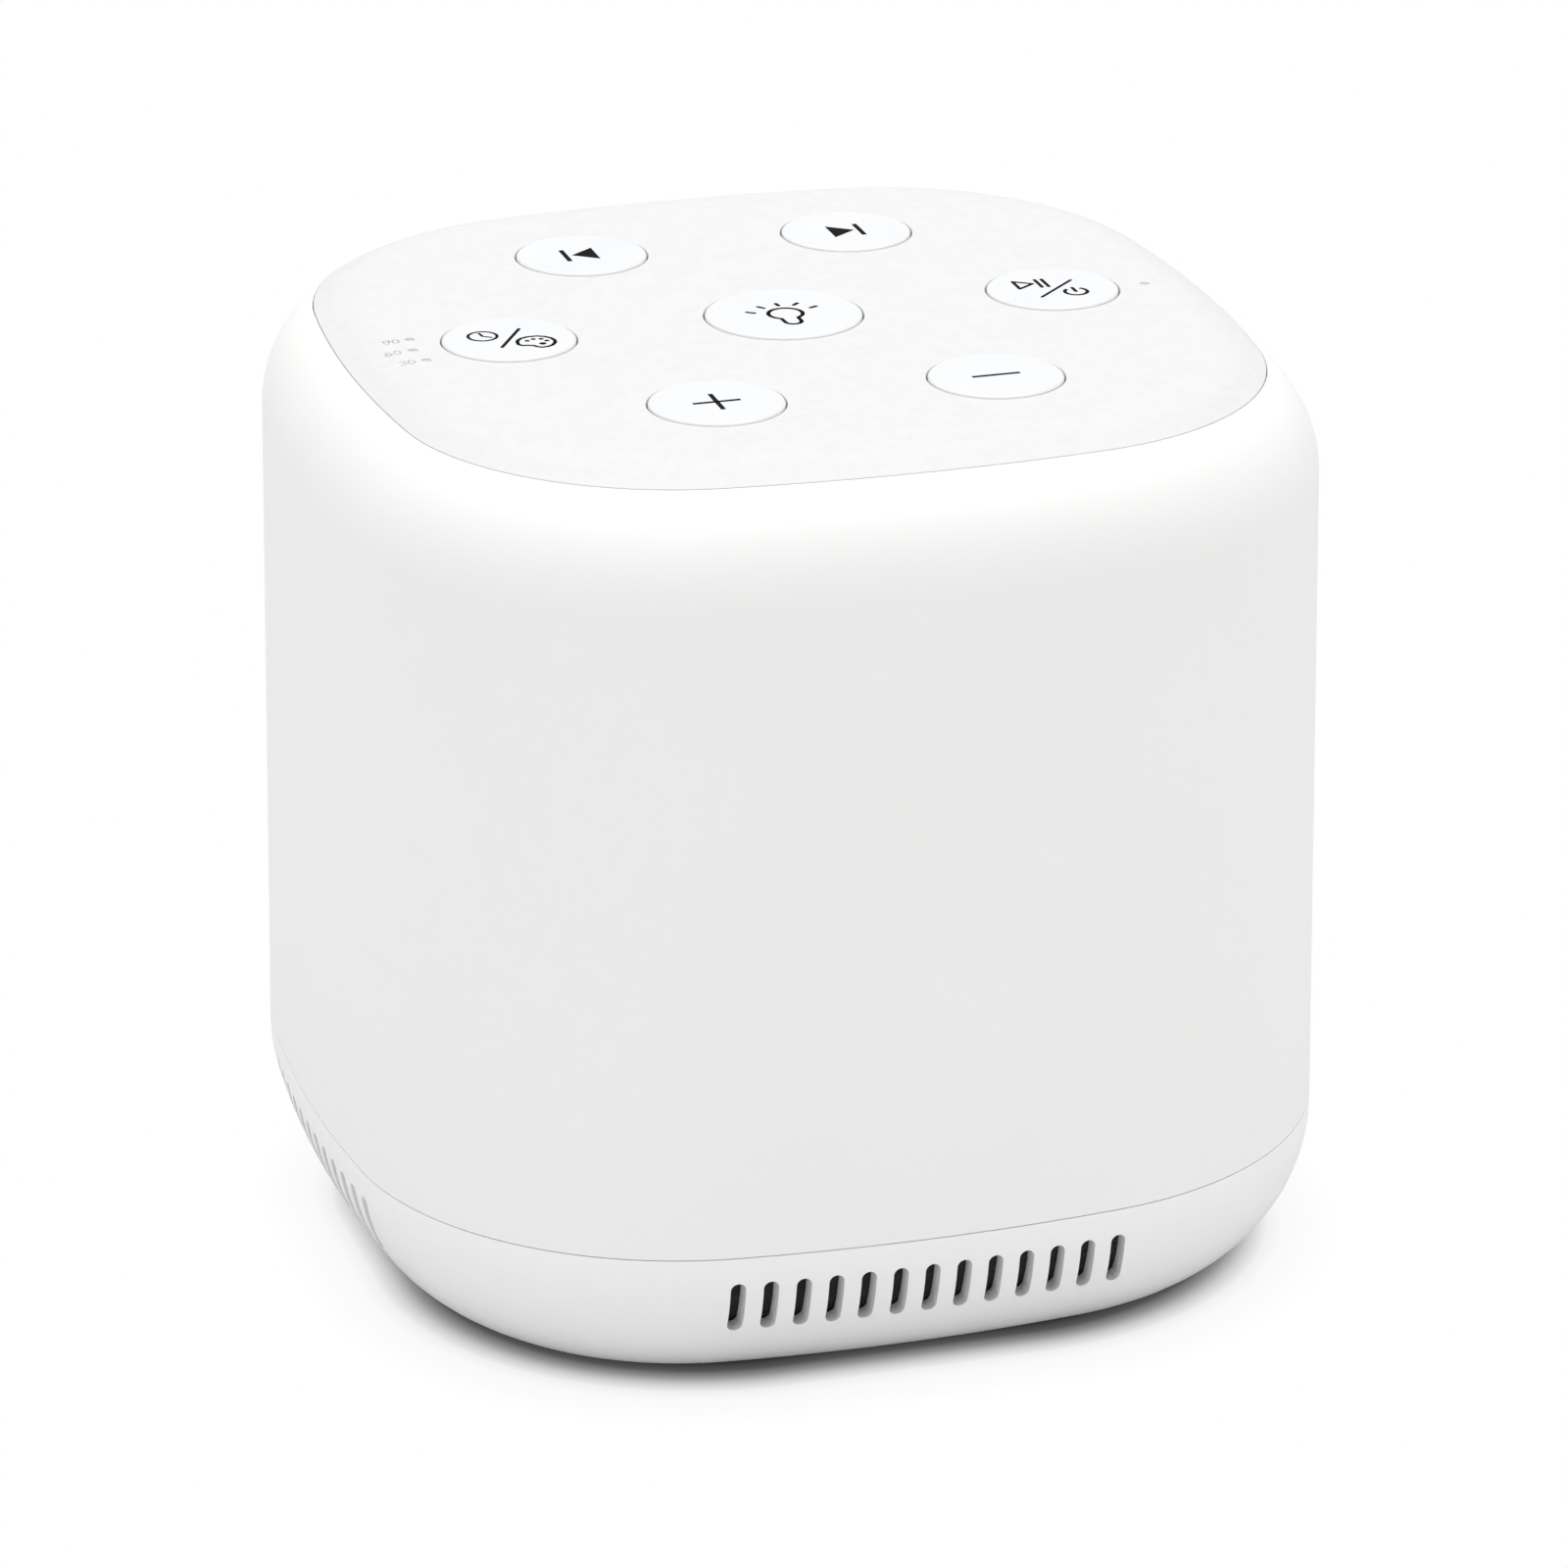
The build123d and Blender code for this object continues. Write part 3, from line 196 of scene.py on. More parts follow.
# %% Group: copper tracks under the green varnish of a board
track_group, track_in, track_out = new_group("Board tracks", [("Step mm", 1.6)], ["Track"])
track_place = track_group.nodes.new("ShaderNodeTexCoord")
track_brick = track_group.nodes.new("ShaderNodeTexBrick")
track_brick.offset = 0.37
track_brick.inputs["Mortar Size"].default_value = 0.06
track_brick.inputs["Brick Width"].default_value = 2.3
track_brick.inputs["Row Height"].default_value = 0.5
link(track_group, track_place.outputs["Object"], track_brick.inputs["Vector"])
link(track_group, math_node(track_group, "DIVIDE", MM, track_in.outputs["Step mm"]),
     track_brick.inputs["Scale"])
link(track_group, track_brick.outputs["Fac"], track_out.inputs["Track"])

# %% [markdown]
# ## Materials
#
# Each slot of the record gets one node material, and every node that uses the slot shares it.
# Two colours with the drift between them, a roughness range on the same drift and a bump from
# the grain describe most plastics and metals well. The alternative, a single colour with one
# roughness, looks like paint straight from a tin.

# %% Material maker for plastics, rubbers and metals
MATERIALS = {}


def group_node(tree, group, **values):
    """A group in a material, with its inputs set by name."""
    node = tree.nodes.new("ShaderNodeGroup")
    node.node_tree = group
    for label, value in values.items():
        node.inputs[label.replace("_", " ")].default_value = value
    return node


def two_colours(tree, mask, first, second):
    """A ramp from the first colour to the second along the mask."""
    ramp = tree.nodes.new("ShaderNodeValToRGB")
    ramp.color_ramp.elements[0].position = NOISE_LOW
    ramp.color_ramp.elements[1].position = NOISE_HIGH
    ramp.color_ramp.elements[0].color = (*first, 1)
    ramp.color_ramp.elements[1].color = (*second, 1)
    link(tree, mask, ramp.inputs["Fac"])
    return ramp.outputs["Color"]


def surface(slot, first, second, rough, drift=12.0, grain=0.35, bump=0.02, depth=0.02,
            metallic=0.0):
    """A node material with drifting colour and roughness and a fine bump. Sizes are in mm."""
    material = bpy.data.materials.new(slot + "_look")
    material.use_nodes = True
    tree = material.node_tree
    shader = tree.nodes["Principled BSDF"]
    cloud = group_node(tree, drift_group, Size_mm=drift).outputs["Drift"]
    link(tree, two_colours(tree, cloud, first, second), shader.inputs["Base Color"])
    link(tree, remap(tree, cloud, *rough), shader.inputs["Roughness"])
    fine = group_node(tree, grain_group, Size_mm=grain)
    relief = tree.nodes.new("ShaderNodeBump")
    relief.inputs["Strength"].default_value = bump
    relief.inputs["Distance"].default_value = depth / MM
    link(tree, fine.outputs["Height"], relief.inputs["Height"])
    link(tree, relief.outputs["Normal"], shader.inputs["Normal"])
    shader.inputs["Metallic"].default_value = metallic
    MATERIALS[slot] = material
    return tree, shader


# %% [markdown]
# ### The white plastics outside
#
# The shade is a milky plastic with a satin face, which spreads the night light. The base is
# glossier, the panel is grained on top, and the buttons are smooth. One shared white would melt
# the four mouldings together, so each has its own. The panel and the buttons are painted paler
# on their sides than on top: painted light, which lifts the shade in the narrow gaps round the
# buttons and at the panel's edge. A second material on those faces would need them picked out
# by hand, and a mask of level faces finds them by itself.

# %% The white plastics outside: shade, panel, base and buttons
_, shade_shader = surface(
    "shade_plastic", (0.880, 0.882, 0.873), (0.890, 0.892, 0.884), (0.42, 0.47),
    drift=25.0, grain=0.25, bump=0.12)
shade_shader.inputs["Specular IOR Level"].default_value = 0.8
surface("base_plastic", (0.904, 0.906, 0.906), (0.914, 0.916, 0.916), (0.30, 0.36),
        drift=25.0, grain=0.25, bump=0.08)


def mix_colours(tree, mask, first, second):
    """The first colour where the mask is 0, the second where it is 1; each a socket or fixed."""
    mix = tree.nodes.new("ShaderNodeMix")
    mix.data_type = "RGBA"
    link(tree, mask, mix.inputs["Factor"])
    for label, colour in (("A", first), ("B", second)):
        if isinstance(colour, tuple):
            mix.inputs[label].default_value = (*colour, 1)
        else:
            link(tree, colour, mix.inputs[label])
    return mix.outputs["Result"]


def painted_light_sides(slot, first, second, sides, **look):
    """A moulded white whose level faces are grained, and whose sides are painted paler, as painted
    light against the shade in the gaps beside them.
    """
    tree, shader = surface(slot, first, second, **look)
    grained = shader.inputs["Base Color"].links[0].from_socket
    level = group_node(tree, level_group)
    link(tree, mix_colours(tree, level.outputs["Up"], sides, grained), shader.inputs["Base Color"])


# The side colours, paler than the tops, are painted light for the shaded gaps round the panel and
# the buttons.
painted_light_sides("panel_plastic", (0.694, 0.696, 0.696), (0.724, 0.726, 0.726), (0.86, 0.86, 0.86),
             rough=(0.48, 0.56), drift=1.2, grain=0.18, bump=0.35)
painted_light_sides("button_plastic", (0.738, 0.744, 0.754), (0.750, 0.756, 0.766), (0.80, 0.80, 0.80),
             rough=(0.34, 0.40), drift=8.0, grain=0.25, bump=0.08)
print("outside finishes", sorted(MATERIALS))

# %% [markdown]
# ### The boards
#
# A board is glass laminate with copper tracks under a green varnish, which shows them as a paler
# green. They could be cut as thin solids, but a board has hundreds. Here the tracks' pattern
# picks the paler green, and the mask of level faces leaves the sawn edge bare.

# %% Circuit boards
TRACK_GREEN, LAMINATE = (0.04, 0.26, 0.09), (0.34, 0.36, 0.16)
board_tree, board_shader = surface(
    "circuit_board", (0.012, 0.10, 0.035), (0.02, 0.13, 0.045), (0.25, 0.4),
    drift=1.8, grain=0.6, bump=0.25)
board_green = board_shader.inputs["Base Color"].links[0].from_socket
board_tracks = group_node(board_tree, track_group, Step_mm=1.6).outputs["Track"]
board_level = group_node(board_tree, level_group).outputs["Up or down"]
board_face = mix_colours(board_tree, board_tracks, board_green, TRACK_GREEN)
board_whole = mix_colours(board_tree, board_level, LAMINATE, board_face)
link(board_tree, board_whole, board_shader.inputs["Base Color"])
print("board colours", TRACK_GREEN, LAMINATE)

# %% [markdown]
# ### The plain finishes
#
# The feet, the switches, the connectors, the metals and the speaker's pieces are each of one
# stuff, cut or moulded. A material built by hand for each would say the same thing many times,
# so each is one call to the maker, with its own colours, gloss and grain. Metals reflect in
# their own colour, which a metallic value of 1 gives. Paper and foam are rough with a deep bump.

# %% Plain finishes
surface("inner_plastic", (0.78, 0.78, 0.75), (0.84, 0.84, 0.81), (0.45, 0.55), grain=0.3, bump=0.2)
surface("foot_rubber", (0.025, 0.025, 0.026), (0.045, 0.045, 0.046), (0.7, 0.85),
        drift=2.5, grain=0.2, bump=0.5)
surface("connector_plastic", (0.80, 0.76, 0.66), (0.85, 0.81, 0.72), (0.35, 0.45))
surface("switch_plastic", (0.02, 0.02, 0.021), (0.04, 0.04, 0.042), (0.35, 0.5), bump=0.2)
surface("plated_steel", (0.62, 0.62, 0.60), (0.72, 0.71, 0.69), (0.16, 0.3),
        drift=3.0, grain=0.15, bump=0.1, metallic=1.0)
surface("gold_pins", (0.80, 0.58, 0.22), (0.90, 0.68, 0.30), (0.15, 0.3),
        drift=1.0, metallic=1.0)
surface("led_white", (0.88, 0.87, 0.80), (0.94, 0.93, 0.86), (0.3, 0.4), drift=3.0)
surface("chip_black", (0.018, 0.018, 0.019), (0.04, 0.04, 0.041), (0.45, 0.65),
        drift=1.0, grain=0.12, bump=0.4)
surface("cable_grey", (0.40, 0.40, 0.41), (0.50, 0.50, 0.51), (0.35, 0.5), drift=4.0)
surface("wire_red", (0.42, 0.02, 0.015), (0.55, 0.035, 0.025), (0.3, 0.42), drift=3.0)
surface("gasket_foam", (0.012, 0.012, 0.012), (0.04, 0.04, 0.04), (0.85, 0.95),
        drift=0.6, grain=0.25, bump=0.8, depth=0.1)
surface("magnet_ferrite", (0.05, 0.05, 0.055), (0.085, 0.085, 0.09), (0.5, 0.7),
        drift=1.5, grain=0.2, bump=0.4)
surface("cone_paper", (0.018, 0.018, 0.018), (0.05, 0.05, 0.048), (0.75, 0.9),
        drift=1.0, grain=0.3, bump=0.7, depth=0.06)
surface("former_film", (0.42, 0.16, 0.03), (0.55, 0.24, 0.05), (0.2, 0.3), drift=4.0)
surface("surround_rubber", (0.012, 0.012, 0.012), (0.025, 0.025, 0.025), (0.55, 0.7),
        drift=3.0, grain=0.3, bump=0.3)
surface("screw_steel", (0.50, 0.50, 0.52), (0.62, 0.62, 0.64), (0.22, 0.36),
        drift=1.5, grain=0.1, bump=0.15, metallic=1.0)
print("finishes", len(MATERIALS))

# %% [markdown]
# ### The light pipes
#
# Each indicator light reaches the panel through a small pipe of clear plastic. Real glass-clear
# plastic would show only the dark inside here, as the lights are off, so most of its look is a
# frosted grey, and a tenth of the light goes through it, bent as acrylic bends it.

# %% Clear plastic
CLEAR_SHARE, ACRYLIC_BEND = 0.1, 1.49
_, clear_shader = surface(
    "clear_plastic", (0.60, 0.61, 0.61), (0.66, 0.67, 0.67), (0.22, 0.3), drift=1.0)
clear_shader.inputs["Transmission Weight"].default_value = CLEAR_SHARE
clear_shader.inputs["IOR"].default_value = ACRYLIC_BEND
print("light pipes let through", CLEAR_SHARE)

# %% [markdown]
# ### Cloths and windings
#
# The gauze behind the vents is a fine dark cloth, the spider is a coarse varnished one, and the
# coil is enamelled copper wire. They take the maker's material and change only what drives the
# bump: threads or turns in place of grain, so the light breaks up as it does on them.

# %% The gauze behind the vents, the varnished spider and the coil's wire
PATTERN_STRENGTH = 0.8


def patterned(slot, first, second, rough, group, depth, look, **pattern):
    """A material whose bump is a group's regular pattern. Depth is in mm."""
    tree, shader = surface(slot, first, second, rough, **look)
    relief = shader.inputs["Normal"].links[0].from_node
    relief.inputs["Strength"].default_value = PATTERN_STRENGTH
    relief.inputs["Distance"].default_value = depth / MM
    link(tree, group_node(tree, group, **pattern).outputs["Height"], relief.inputs["Height"])


patterned("gauze_cloth", (0.010, 0.008, 0.014), (0.022, 0.016, 0.030), (0.7, 0.85),
          weave_group, 0.12, {}, Threads_per_mm=3.2)
patterned("spider_cloth", (0.52, 0.33, 0.07), (0.66, 0.45, 0.12), (0.5, 0.65),
          weave_group, 0.10, {"drift": 2.0}, Threads_per_mm=1.6)
patterned("coil_copper", (0.62, 0.26, 0.12), (0.78, 0.36, 0.18), (0.2, 0.35),
          wire_group, 0.12, {"drift": 2.0, "metallic": 1.0}, Turns_per_mm=3.0)
print("finishes with the cloths and the coil", len(MATERIALS))

# %% [markdown]
# ### Which finish goes where
#
# The frame's record names one slot for each node, so a loop can hand the materials out. Picking
# them one by one in the editor would do too, but a node that was missed would stay grey.

# %% Put the materials on the frame's nodes
SLOTS = {part["node"]: part["material_slot"] for part in frame["record"]["subparts"]}
for name, node in NODES.items():
    for slot in node.material_slots:
        slot.material = MATERIALS[SLOTS[name]]
print("materials", len(MATERIALS), "on", len(NODES), "nodes")

# %% [markdown]
# ## Printed signs
#
# The signs on the buttons are pad printed in black ink. Each one is drawn flat in millimetres
# about its button's middle, as strokes, rings and filled shapes, and then laid on the surface
# below it as a film a few hundredths of a millimetre thick. An image could carry the same
# drawing, but real ink has an edge, and a drawing stays sharp at any distance.

# %% Drawing helpers: a shape is a list of outlines, the first round the ink and the rest holes in it
INK_LIFT = 0.008
INK_DEPTH = 0.03
STROKE = 0.42
END_STEPS, ARC_STEPS = 6, 28
RING_POINTS, DISC_POINTS = 36, 24


def stroke(start, end, width=STROKE, square=False):
    """A straight stroke, with round ends unless it is square."""
    start, end = Vector(start), Vector(end)
    along = (end - start).normalized()
    side = Vector((-along.y, along.x)) * width / 2
    if square:
        return [[start + side, start - side, end - side, end + side]]
    turn = atan2(along.y, along.x)
    points = []
    for middle, first in ((end, turn - pi / 2), (start, turn + pi / 2)):
        for step in range(END_STEPS + 1):
            angle = first + pi * step / END_STEPS
            points.append(middle + Vector((cos(angle), sin(angle))) * width / 2)
    return [points]


def path_strokes(points, width=STROKE, closed=False):
    """A bent line as one round-ended stroke for each of its runs."""
    pairs = list(zip(points, points[1:]))
    if closed:
        pairs.append((points[-1], points[0]))
    return [stroke(start, end, width) for start, end in pairs]


def arc_points(middle, radius, first, last, steps):
    """Points on an arc, with its angles in degrees."""
    return [
        Vector(middle) + Vector((cos(angle), sin(angle))) * radius
        for angle in (radians(first + (last - first) * step / steps) for step in range(steps + 1))
    ]


def arc_stroke(middle, radius, first, last, width=STROKE):
    """A bent band between two angles with flat ends."""
    outer = arc_points(middle, radius + width / 2, first, last, ARC_STEPS)
    inner = arc_points(middle, radius - width / 2, last, first, ARC_STEPS)
    return [outer + inner]


def circle_points(middle, radius, count):
    """Points evenly round a whole circle."""
    return arc_points(middle, radius, 0, 360 - 360 / count, count - 1)


def ring(middle, radius, width=STROKE):
    """A closed round band."""
    return [circle_points(middle, radius + width / 2, RING_POINTS),
            circle_points(middle, radius - width / 2, RING_POINTS)]


def disc(middle, radius):
    """A filled dot."""
    return [circle_points(middle, radius, DISC_POINTS)]


# %% The seven signs, in millimetres from the middle of their buttons
def bulb_sign():
    """A lamp bulb, one line round the glass and its cap, with five rays."""
    globe = arc_points((0.13, -0.22), 1.70, -60, 240, 26)
    cap = arc_points((0.14, -2.82), 0.82, 180, 360, 12)
    shapes = path_strokes(globe + cap, closed=True)
    for start, end in (((-2.77, 0.76), (-3.4, 1.21)), ((-1.44, 2.02), (-1.87, 2.57)),
                       ((0.18, 2.36), (0.08, 3.04)), ((1.68, 2.12), (2.17, 2.6)),
                       ((3.01, 0.83), (3.67, 1.15))):
        shapes.append(stroke(start, end))
    return shapes


def play_sign():
    """Play and pause above a slash, and the power mark below it."""
    shapes = path_strokes([(-3.2, 3.0), (-1.5, 1.8), (-3.2, 0.6)], 0.38, closed=True)
    shapes += [stroke((-0.9, 2.95), (-0.9, 0.5), 0.38), stroke((-0.2, 2.95), (-0.2, 0.5), 0.38)]
    shapes.append(stroke((-1.95, -2.5), (2.55, 1.9), 0.34))
    shapes.append(arc_stroke((1.87, -1.75), 1.12, 125, 415, 0.38))
    shapes.append(stroke((1.87, -0.5), (1.87, -1.75), 0.38))
    return shapes


def next_sign():
    """A filled arrowhead and a bar after it."""
    return [[[Vector((-1.7, 1.8)), Vector((-1.7, -1.95)), Vector((0.85, -0.1))]],
            stroke((1.38, 1.8), (1.38, -1.95), 0.5, square=True)]


def previous_sign():
    """A filled arrowhead and a bar before it."""
    return [[[Vector((1.45, 1.8)), Vector((-1.05, -0.1)), Vector((1.45, -1.95))]],
            stroke((-1.68, 1.8), (-1.68, -1.95), 0.5, square=True)]


def timer_sign():
    """A clock above a slash, and a paint palette below it."""
    shapes = [ring((-2.3, 1.4), 1.42, 0.32)]
    shapes += [stroke((-2.3, 1.4), (-2.4, 2.35), 0.28), stroke((-2.3, 1.4), (-1.55, 0.85), 0.28)]
    shapes.append(stroke((-1.35, -2.45), (1.7, 2.65), 0.36))
    palette = [(0.45, -1.5), (0.62, -0.85), (1.1, -0.3), (1.85, 0.0), (2.75, 0.0), (3.45, -0.35),
               (3.95, -0.97), (4.12, -1.7), (4.0, -2.4), (3.55, -3.1), (2.95, -3.45), (2.38, -3.5),
               (2.0, -3.2), (1.75, -2.8), (1.2, -2.55), (0.7, -2.45), (0.42, -2.1)]
    shapes += path_strokes(palette, 0.38, closed=True)
    for place in ((1.5, -1.2), (2.2, -0.85), (2.95, -1.0), (3.35, -1.65)):
        shapes.append(disc(place, 0.26))
    shapes.append(disc((2.75, -2.4), 0.36))
    return shapes


def plus_sign():
    """A plain cross."""
    return [stroke((-2.36, 0), (2.36, 0), 0.48, square=True),
            stroke((0, -2.36), (0, 2.36), 0.48, square=True)]


def minus_sign():
    """A plain bar."""
    return [stroke((-2.4, 0), (2.4, 0), 0.48, square=True)]


SIGNS = {"light": bulb_sign, "power": play_sign, "next": next_sign, "previous": previous_sign,
         "timer": timer_sign, "volume_up": plus_sign, "volume_down": minus_sign}
print("shapes in each sign", {button: len(sign()) for button, sign in SIGNS.items()})

# %% [markdown]
# A sign has to go down with its button, so each new piece is parented to an empty named after
# the body it belongs to. The maker comes in two parts, because a sheet that bends between two
# bodies must not ride on either of them.

# %% Put a detailed piece in the frame
def new_object(name, data):
    """An object with this data, in the scene."""
    thing = bpy.data.objects.new(name, data)
    bpy.context.collection.objects.link(thing)
    return thing


def mesh_object(name, mesh, material):
    """An object made from a finished mesh, all in one material."""
    data = bpy.data.meshes.new(name)
    mesh.to_mesh(data)
    mesh.free()
    data.materials.append(material)
    return new_object(name, data)


def free_piece(name, mesh, slot, material):
    """Turns a finished mesh into a piece that belongs to no body yet."""
    bmesh.ops.recalc_face_normals(mesh, faces=mesh.faces[:])
    piece = mesh_object(name, mesh, material)
    return piece


def place_piece(name, mesh, body, slot, material):
    """Turns a finished mesh into a piece that rides on a body."""
    piece = free_piece(name, mesh, slot, material)
    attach(piece, body)
    return piece


# %% Lay a drawing on the surface below it
ABOVE_ALL = 0.2  # metres, higher than any piece


def surface_below(node):
    """A search tree of a node's faces, to find the surface under a point."""
    mesh = NODES[node].data
    return BVHTree.FromPolygons([v.co for v in mesh.vertices], [p.vertices for p in mesh.polygons])


def lay_ink(name, shapes, middle, node, body, material):
    """Makes a thin ink film: each shape in mm about middle follows the node's surface below it."""
    tree = surface_below(node)
    mesh = bmesh.new()
    for outlines in shapes:
        corners = []
        for outline in outlines:
            loop = []
            for point in outline:
                above = Vector(((middle[0] + point.x) / MM, (middle[1] + point.y) / MM, ABOVE_ALL))
                hit = tree.ray_cast(above, Vector((0, 0, -1)))[0]
                loop.append((mesh.verts.new(hit + Vector((0, 0, INK_LIFT / MM))),
                             mesh.verts.new(hit - Vector((0, 0, INK_DEPTH / MM)))))
            for (upper, lower), (next_upper, next_lower) in zip(loop, loop[1:] + loop[:1]):
                mesh.faces.new((upper, lower, next_lower, next_upper))
            corners += loop
        flat = [[Vector((point.x, point.y, 0)) for point in outline] for outline in outlines]
        for triangle in tessellate_polygon(flat):
            mesh.faces.new([corners[index][0] for index in triangle])
            mesh.faces.new([corners[index][1] for index in reversed(triangle)])
    place_piece(name, mesh, body, SLOTS[node], material)


def node_middle(node):
    """The middle of a node's box from above, in mm."""
    low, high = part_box(node)
    return (MM * (low.x + high.x) / 2, MM * (low.y + high.y) / 2)


# %% The two inks, and the seven signs in black
INK_SHINE = 0.08
ink_looks = {"black_ink": ((0.004, 0.004, 0.005), (0.009, 0.009, 0.010)),
             "grey_ink": ((0.42, 0.42, 0.43), (0.50, 0.50, 0.51))}
for slot, (first, second) in ink_looks.items():
    _, ink_shader = surface(slot, first, second, (0.8, 0.9), drift=0.8, grain=0.08, bump=0.3)
    ink_shader.inputs["Specular IOR Level"].default_value = INK_SHINE
for button, sign in SIGNS.items():
    lay_ink(f"{button}_sign", sign(), node_middle(f"{button}_button"), f"{button}_button",
            f"{button}_key", MATERIALS["black_ink"])
print("signs", len(SIGNS), "inks", len(ink_looks))

# %% [markdown]
# The three timer lights have their minutes beside them: 90, 60 and 30. A text object could write
# them, but it would bring a font along. Drawn with thinner strokes than the signs and laid on the
# panel in the same way, the figures need none.

# %% Numerals beside the timer lights
FIGURE_HEIGHT, FIGURE_WIDTH, FIGURE_STEP, FIGURE_STROKE = 1.05, 0.62, 0.88, 0.12
LOOP_MIDDLE, LOOP_HALF = 0.72, 0.28  # of a nine, as shares of its height


def oval_points(middle, half_wide, half_tall, count):
    """Points evenly round an upright oval."""
    turns = [2 * pi * step / count for step in range(count)]
    return [(middle[0] + half_wide * cos(turn), middle[1] + half_tall * sin(turn))
            for turn in turns]


def figure(number, left, base):
    """One digit as strokes: its lower left corner is at left and base, in mm."""
    wide, tall = FIGURE_WIDTH, FIGURE_HEIGHT
    loop = oval_points((wide / 2, tall * LOOP_MIDDLE), wide / 2, tall * LOOP_HALF, 16)
    oval = oval_points((wide / 2, tall / 2), wide / 2, tall / 2, 20)
    three = [(0.0, 0.94), (0.3, 1.0), (0.8, 0.97), (0.98, 0.78), (0.8, 0.58), (0.4, 0.53),
             (0.8, 0.48), (1.0, 0.27), (0.8, 0.04), (0.3, 0.0), (0.0, 0.07)]
    tail = [(wide, tall * LOOP_MIDDLE), (wide * 0.95, tall * 0.35), (wide * 0.6, 0.0),
            (wide * 0.15, 0.05)]
    lines = {0: [(oval, True)], 3: [([(x * wide, y * tall) for x, y in three], False)],
             9: [(loop, True), (tail, False)],
             6: [([(wide - x, tall - y) for x, y in loop], True),
                 ([(wide - x, tall - y) for x, y in tail], False)]}
    shapes = []
    for points, closed in lines[number]:
        moved = [(left + x, base + y) for x, y in points]
        shapes += path_strokes(moved, FIGURE_STROKE, closed)
    return shapes


NUMERALS = {90: (-1.65, 3.15), 60: (-2.3, -0.15), 30: (-1.7, -3.45)}  # from the light pipe, in mm
timer_low, timer_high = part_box("timer_light_pipe")
timer_x = MM * (timer_low.x + timer_high.x) / 2
timer_y = MM * (timer_low.y + timer_high.y) / 2
start = -(FIGURE_STEP + FIGURE_WIDTH) / 2
for minutes, (x, y) in NUMERALS.items():
    shapes = figure(minutes // 10, start, -FIGURE_HEIGHT / 2)
    shapes += figure(0, start + FIGURE_STEP, -FIGURE_HEIGHT / 2)
    lay_ink(f"minutes_{minutes}", shapes, (timer_x + x, timer_y + y), "top_panel", "machine",
            MATERIALS["grey_ink"])
print("numerals", sorted(NUMERALS))

# %% [markdown]
# ## Screws
#
# In the frame a screw is a plain head on a plain shank. Here each one gets a domed pan head with
# a cross recess and a thread. The thread is one grid wrapped round the shank whose radius rises
# and falls along a helix: it costs far fewer faces than a swept ridge cut with booleans, and it
# is closed. All screws of a group stay one piece, as in the frame.

# %% The separate solids of a node
SAME_POINT = 1e-7  # metres


def solids(node):
    """For each separate solid of a node, its points in mm."""
    mesh = bmesh.new()
    mesh.from_mesh(NODES[node].data)
    bmesh.ops.remove_doubles(mesh, verts=mesh.verts[:], dist=SAME_POINT)
    left, found = set(mesh.verts), []
    while left:
        todo, points = [left.pop()], []
        while todo:
            vertex = todo.pop()
            points.append(vertex.co * MM)
            for edge in vertex.link_edges:
                other = edge.other_vert(vertex)
                if other in left:
                    left.remove(other)
                    todo.append(other)
        found.append(points)
    mesh.free()
    return found


def box_of(points):
    """Low and high corner of some points."""
    return (Vector([min(p[axis] for p in points) for axis in range(3)]),
            Vector([max(p[axis] for p in points) for axis in range(3)]))


# %% The head: a flat top with a cross recess. Head sizes are shares of its radius and height
SIDES = 20
HEAD_FLAT = 0.72
CROSS_REACH, CROSS_HALF_WIDTH, CROSS_DEPTH, CROSS_BOTTOM = 0.52, 0.13, 0.6, 0.7


def cross_outline(reach, half_width):
    """The twelve corners of a plain cross."""
    quarter = [(reach, -half_width), (reach, half_width), (half_width, half_width)]
    corners = []
    for turn in range(4):
        for x, y in quarter:
            for _ in range(turn):
                x, y = -y, x
            corners.append(Vector((x, y)))
    return corners


def join_rings(mesh, upper, lower, smooth=True):
    """A band of faces between two closed rings of points."""
    count = len(upper)
    for index in range(count):
        after = (index + 1) % count
        face = mesh.faces.new((upper[index], lower[index], lower[after], upper[after]))
        face.smooth = smooth


def add_head_top(mesh, point, head_radius, head_height):
    """Adds the flat top with its recess, and gives back the ring of points round it."""
    flat = head_radius * HEAD_FLAT
    circle = oval_points((0, 0), flat, flat, SIDES)
    rim = [point(x, y, 0.0) for x, y in circle]
    cross = cross_outline(head_radius * CROSS_REACH, head_radius * CROSS_HALF_WIDTH)
    mouth = [point(p.x, p.y, 0.0) for p in cross]
    bottom = [point(p.x * CROSS_BOTTOM, p.y * CROSS_BOTTOM, head_height * CROSS_DEPTH)
              for p in cross]
    flat_cross = [Vector((p.x, p.y, 0)) for p in cross]
    corners = rim + mouth
    for triangle in tessellate_polygon([[Vector((x, y, 0)) for x, y in circle], flat_cross]):
        mesh.faces.new([corners[index] for index in triangle])
    join_rings(mesh, mouth, bottom, smooth=False)
    for triangle in tessellate_polygon([flat_cross]):
        mesh.faces.new([bottom[index] for index in triangle])
    return rim


# %% One screw: the head's dome, the threaded shank and a blunt tip
DOME = ((0.90, 0.10), (0.98, 0.28), (1.0, 0.5), (1.0, 1.0))
RIDGE, TIP_LENGTH, TIP_RADIUS = 0.16, 0.8, 0.35  # shares of the shank's radius
THREAD_PITCH, RINGS_PER_TURN = 0.8, 6


